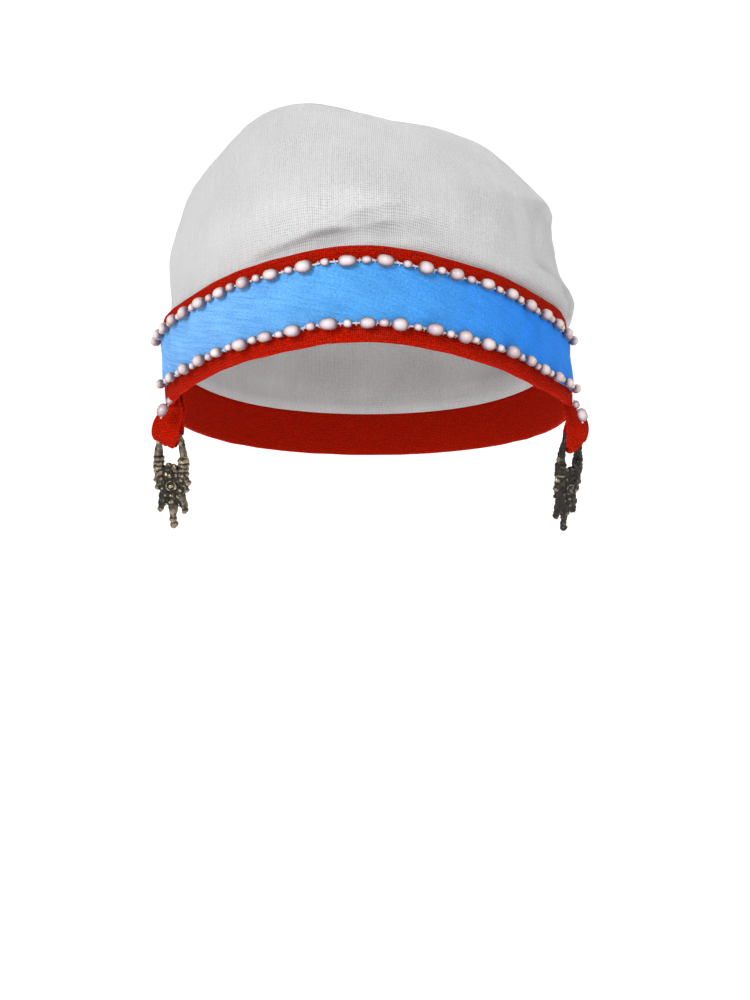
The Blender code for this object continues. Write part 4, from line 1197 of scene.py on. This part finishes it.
class ClothSettings(bpy.types.PropertyGroup):
    """Weave and colours of the cap, the band, the loops and the ribbon."""

    gauze_pitch: size("Gauze pitch", "Distance between two threads of the cap's gauze",
                      0.00068, 0.0003, 0.003)
    linen_pitch: size("Linen pitch", "Distance between two threads of the band's linen",
                      0.0006, 0.0002, 0.003)
    gauze_color: colour("Gauze", "Colour of the cap's threads", (0.70, 0.70, 0.70))
    gauze_shade: colour("Gauze holes", "Colour seen between the threads", (0.33, 0.33, 0.34))
    linen_color: colour("Linen", "Main colour of the red linen", (0.57, 0.010, 0.001))
    linen_light: colour("Linen fibre", "Colour of its loose fibres", (0.80, 0.030, 0.006))
    linen_dark: colour("Linen gaps", "Colour between its threads", (0.15, 0.002, 0.001))
    ribbon_left: colour("Ribbon left", "Colour at the viewer's left", (0.19, 0.46, 0.88))
    ribbon_middle: colour("Ribbon front", "Colour at the front", (0.085, 0.355, 0.77))
    ribbon_right: colour("Ribbon right", "Colour at the right", (0.025, 0.26, 0.92))
    ribbon_dark: colour("Ribbon streaks", "Colour of the nap's streaks", (0.02, 0.19, 0.66))


class PearlSettings(bpy.types.PropertyGroup):
    """Colours of the pearls and their thread."""

    pearl_color: colour("Pearl", "Pale colour of the nacre", (0.88, 0.80, 0.79))
    pearl_tint: colour("Pearl tint", "Deeper colour of the nacre", (0.66, 0.50, 0.50))
    # Painted shade: the grey that the nacre is painted on the side turned from the pearls' fixed
    # light.
    pearl_edge: colour("Pearl edge", "Grey of the nacre by the cloth", (0.17, 0.13, 0.155))
    thread_color: colour("Thread", "Colour of the thread", (0.82, 0.84, 0.88))
    thread_shade: colour("Thread shade", "Colour between its fibres", (0.45, 0.46, 0.5))


class RingSettings(bpy.types.PropertyGroup):
    """Fineness and colours of the cast rings."""

    detail: size("Detail", "Voxel size that the casting's parts are fused with",
                 0.00022, 0.0001, 0.001)
    bronze_dark: colour("Patina", "Dark patina in the grooves", (0.040, 0.034, 0.030))
    bronze_green: colour("Green patina", "Green tint of the patina", (0.045, 0.052, 0.042))
    bronze_rubbed: colour("Rubbed bronze", "Metal on the raised parts", (0.42, 0.34, 0.23))


class StageSettings(bpy.types.PropertyGroup):
    """Light and floor."""

    key_power: power("Key light", "Power of the main light", 7.2)
    fill_power: power("Fill light", "Power of the fill light", 1.4)
    rim_power: power("Rim light", "Power of the light behind", 3.8)
    sky: bpy.props.FloatProperty(name="Sky", description="Strength of the even light all round",
                                 default=0.40, min=0.0, max=5.0)
    floor_drop: size("Floor drop", "Floor below the origin", 0.34, 0.05, 2.0)
    floor_color: colour("Floor", "Colour of the floor", (0.92, 0.92, 0.92))
    floor_shade: colour("Floor shade", "Colour of its faint clouds", (0.86, 0.86, 0.86))


class HEADDRESS_OT_cap(bpy.types.Operator):
    """Build the slack gauze cap."""

    bl_idname = "headdress.cap"
    bl_label = "Gauze cap"

    def execute(self, context):
        material = shared(gauze_material, "cloth")
        piece = add_piece("gauze_cap", cap_mesh(), material, node="cap")
        wall = piece.modifiers.new("cloth", "SOLIDIFY")
        wall.thickness = CAP_CLOTH * MM
        wall.offset = -1.0
        return {"FINISHED"}


class HEADDRESS_OT_band(bpy.types.Operator):
    """Build the red linen band."""

    bl_idname = "headdress.band"
    bl_label = "Linen band"

    def execute(self, context):
        material = shared(linen_material, "cloth")
        piece = add_piece("linen_band", linen_band_mesh(), material, node="headband")
        return {"FINISHED"}


class HEADDRESS_OT_ribbon(bpy.types.Operator):
    """Build the blue ribbon."""

    bl_idname = "headdress.ribbon"
    bl_label = "Ribbon"

    def execute(self, context):
        material = shared(ribbon_material, "cloth")
        piece = add_piece("velvet_ribbon", ribbon_mesh(), material, node="ribbon")
        return {"FINISHED"}


class HEADDRESS_OT_pearls(bpy.types.Operator):
    """Build both pearl rows with their threads and stitches."""

    bl_idname = "headdress.pearls"
    bl_label = "Pearl rows"

    def execute(self, context):
        nacre = shared(pearl_material, "pearls")
        along = band_frame(0.0)[0]
        for row, edge, inset, larges, seed in PEARL_ROWS:
            pearls, thread, stitches = pearl_row("pearls_" + row, edge, inset, larges, seed)
            add_piece("pearls_" + row, pearls, nacre, node="pearl_row_" + row)
            add_thread("thread_" + row, thread, BAND_UP, THREAD_RADIUS)
            add_thread("stitches_" + row, stitches, along, STITCH_RADIUS)
        return {"FINISHED"}


class HEADDRESS_OT_loops(bpy.types.Operator):
    """Build the two cloth loops."""

    bl_idname = "headdress.loops"
    bl_label = "Cloth loops"

    def execute(self, context):
        material = shared(linen_material, "cloth")
        for side, place in LOOP_PLACES.items():
            name = "cloth_loop_" + side
            pivot, turn = RINGS[side][:2]
            mesh = cloth_loop_mesh(name, pivot, turn, place)
            piece = add_piece(name, mesh, material, node="loop_" + side)
        return {"FINISHED"}


class HEADDRESS_OT_loop_pearls(bpy.types.Operator):
    """Build the two pearls above each cloth loop."""

    bl_idname = "headdress.loop_pearls"
    bl_label = "Loop pearls"

    def execute(self, context):
        nacre = shared(pearl_material, "pearls")
        for side, place in LOOP_PEARL_PLACES.items():
            pearls, thread = loop_pearls_mesh("pearl_pair_" + side, *place)
            add_piece("pearl_pair_" + side, pearls, nacre, node="loop_pearls_" + side)
            add_thread("pair_thread_" + side, thread, band_frame(place[0])[0], THREAD_RADIUS)
        return {"FINISHED"}


class HEADDRESS_OT_rings(bpy.types.Operator):
    """Build the two cast temple rings."""

    bl_idname = "headdress.rings"
    bl_label = "Temple rings"

    def execute(self, context):
        material = shared(bronze_material, "rings")
        points, normals, faces, raised = cast_shape(context.scene.headdress_rings.detail)
        for side, (pivot, turn, lean, polish, seed) in RINGS.items():
            name = "bronze_ring_" + side
            wear = wave_sum(points, RING_WEAR, seed)
            placed = place_ring(points + normals * wear[:, None], pivot, turn, lean)
            mesh = make_mesh(name, placed, faces, values={"raised": raised + polish})
            add_piece(name, mesh, material, body="ring_" + side,
                      node="temple_ring_" + side)
        return {"FINISHED"}


def add_light(name, location, breadth, strength):
    """Add a soft square light that faces the headdress."""
    data = bpy.data.lights.new(name, "AREA")
    data.shape = "SQUARE"
    data.size = breadth
    data.energy = strength
    light = bpy.data.objects.new(name, data)
    bpy.context.scene.collection.objects.link(light)
    light.location = location
    x, y, z = np.array(location) - np.array(LIGHT_TARGET)
    tilt = math.atan2(math.hypot(x, y), z)
    light.rotation_euler = (tilt, 0.0, math.atan2(y, x) + math.pi / 2)


def backdrop_mesh(drop):
    """Make a floor that curves up at the back: a swept line of floor, quarter round and wall."""
    near, far, curve, top, half_width = -7000.0, 900.0, 500.0, 1800.0, 7000.0
    angle = np.linspace(0.0, math.pi / 2.0, 17)
    y = np.concatenate([[near, 0.0], far + curve * np.sin(angle), [far + curve]])
    z = np.concatenate([[0.0, 0.0], curve * (1.0 - np.cos(angle)), [top]]) - drop / MM
    points = np.stack([np.tile([-half_width, half_width], (len(y), 1)),
                       np.tile(y[:, None], 2), np.tile(z[:, None], 2)], axis=-1)
    quads = grid_quads(len(y), 2, close_columns=False)[0]
    return make_mesh("floor", points.reshape(-1, 3), quads.tolist())


class HEADDRESS_OT_stage(bpy.types.Operator):
    """Build the floor, the lights and the camera."""

    bl_idname = "headdress.stage"
    bl_label = "Stage"

    def execute(self, context):
        scene = context.scene
        settings = scene.headdress_stage
        mesh = backdrop_mesh(settings.floor_drop)
        mesh.materials.append(shared(backdrop_material, "stage"))
        floor = bpy.data.objects.new("floor", mesh)
        scene.collection.objects.link(floor)
        for name, place, breadth, setting in LIGHTS:
            add_light(name, place, breadth, getattr(settings, setting))
        world = bpy.data.worlds.new("sky")
        world.use_nodes = True
        background = world.node_tree.nodes["Background"].inputs
        background["Color"].default_value = (1.0, 1.0, 1.0, 1.0)
        background["Strength"].default_value = settings.sky
        scene.world = world
        data = bpy.data.cameras.new("camera")
        data.lens = CAMERA_LENS
        data.sensor_width = 36.0
        data.clip_start = 0.01
        camera = bpy.data.objects.new("camera", data)
        scene.collection.objects.link(camera)
        camera.location = CAMERA_PLACE
        camera.rotation_euler = (CAMERA_TILT, 0.0, 0.0)
        scene.camera = camera
        scene.view_settings.view_transform = "Standard"
        return {"FINISHED"}


class HEADDRESS_PT_panel(bpy.types.Panel):
    """List the pieces of the headdress."""

    bl_idname = "HEADDRESS_PT_panel"
    bl_label = "Headdress"
    bl_space_type = "VIEW_3D"
    bl_region_type = "UI"
    bl_category = "Headdress"

    def draw(self, context):
        for operator in OPERATORS:
            self.layout.operator(operator.bl_idname)
        for name in SETTINGS:
            group = getattr(context.scene, name)
            box = self.layout.box()
            for key in group.__annotations__:
                box.prop(group, key)


OPERATORS = (HEADDRESS_OT_cap, HEADDRESS_OT_band, HEADDRESS_OT_ribbon, HEADDRESS_OT_pearls,
             HEADDRESS_OT_loops, HEADDRESS_OT_loop_pearls, HEADDRESS_OT_rings,
             HEADDRESS_OT_stage)
SETTINGS = {
    "headdress_cloth": ClothSettings,
    "headdress_pearls": PearlSettings,
    "headdress_rings": RingSettings,
    "headdress_stage": StageSettings,
}


def register():
    """Register the settings, the operators and the panel."""
    for name, group in SETTINGS.items():
        bpy.utils.register_class(group)
        setattr(bpy.types.Scene, name, bpy.props.PointerProperty(type=group))
    for operator in OPERATORS:
        bpy.utils.register_class(operator)
    bpy.utils.register_class(HEADDRESS_PT_panel)


def unregister():
    """Take everything out again."""
    bpy.utils.unregister_class(HEADDRESS_PT_panel)
    for operator in reversed(OPERATORS):
        bpy.utils.unregister_class(operator)
    for name, group in SETTINGS.items():
        delattr(bpy.types.Scene, name)
        bpy.utils.unregister_class(group)


def main():
    """Build every piece and the stage."""
    register()
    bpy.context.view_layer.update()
    bpy.ops.headdress.cap()
    bpy.ops.headdress.band()
    bpy.ops.headdress.ribbon()
    bpy.ops.headdress.pearls()
    bpy.ops.headdress.loops()
    bpy.ops.headdress.loop_pearls()
    bpy.ops.headdress.rings()
    bpy.ops.headdress.stage()


if __name__ == "__main__":
    main()
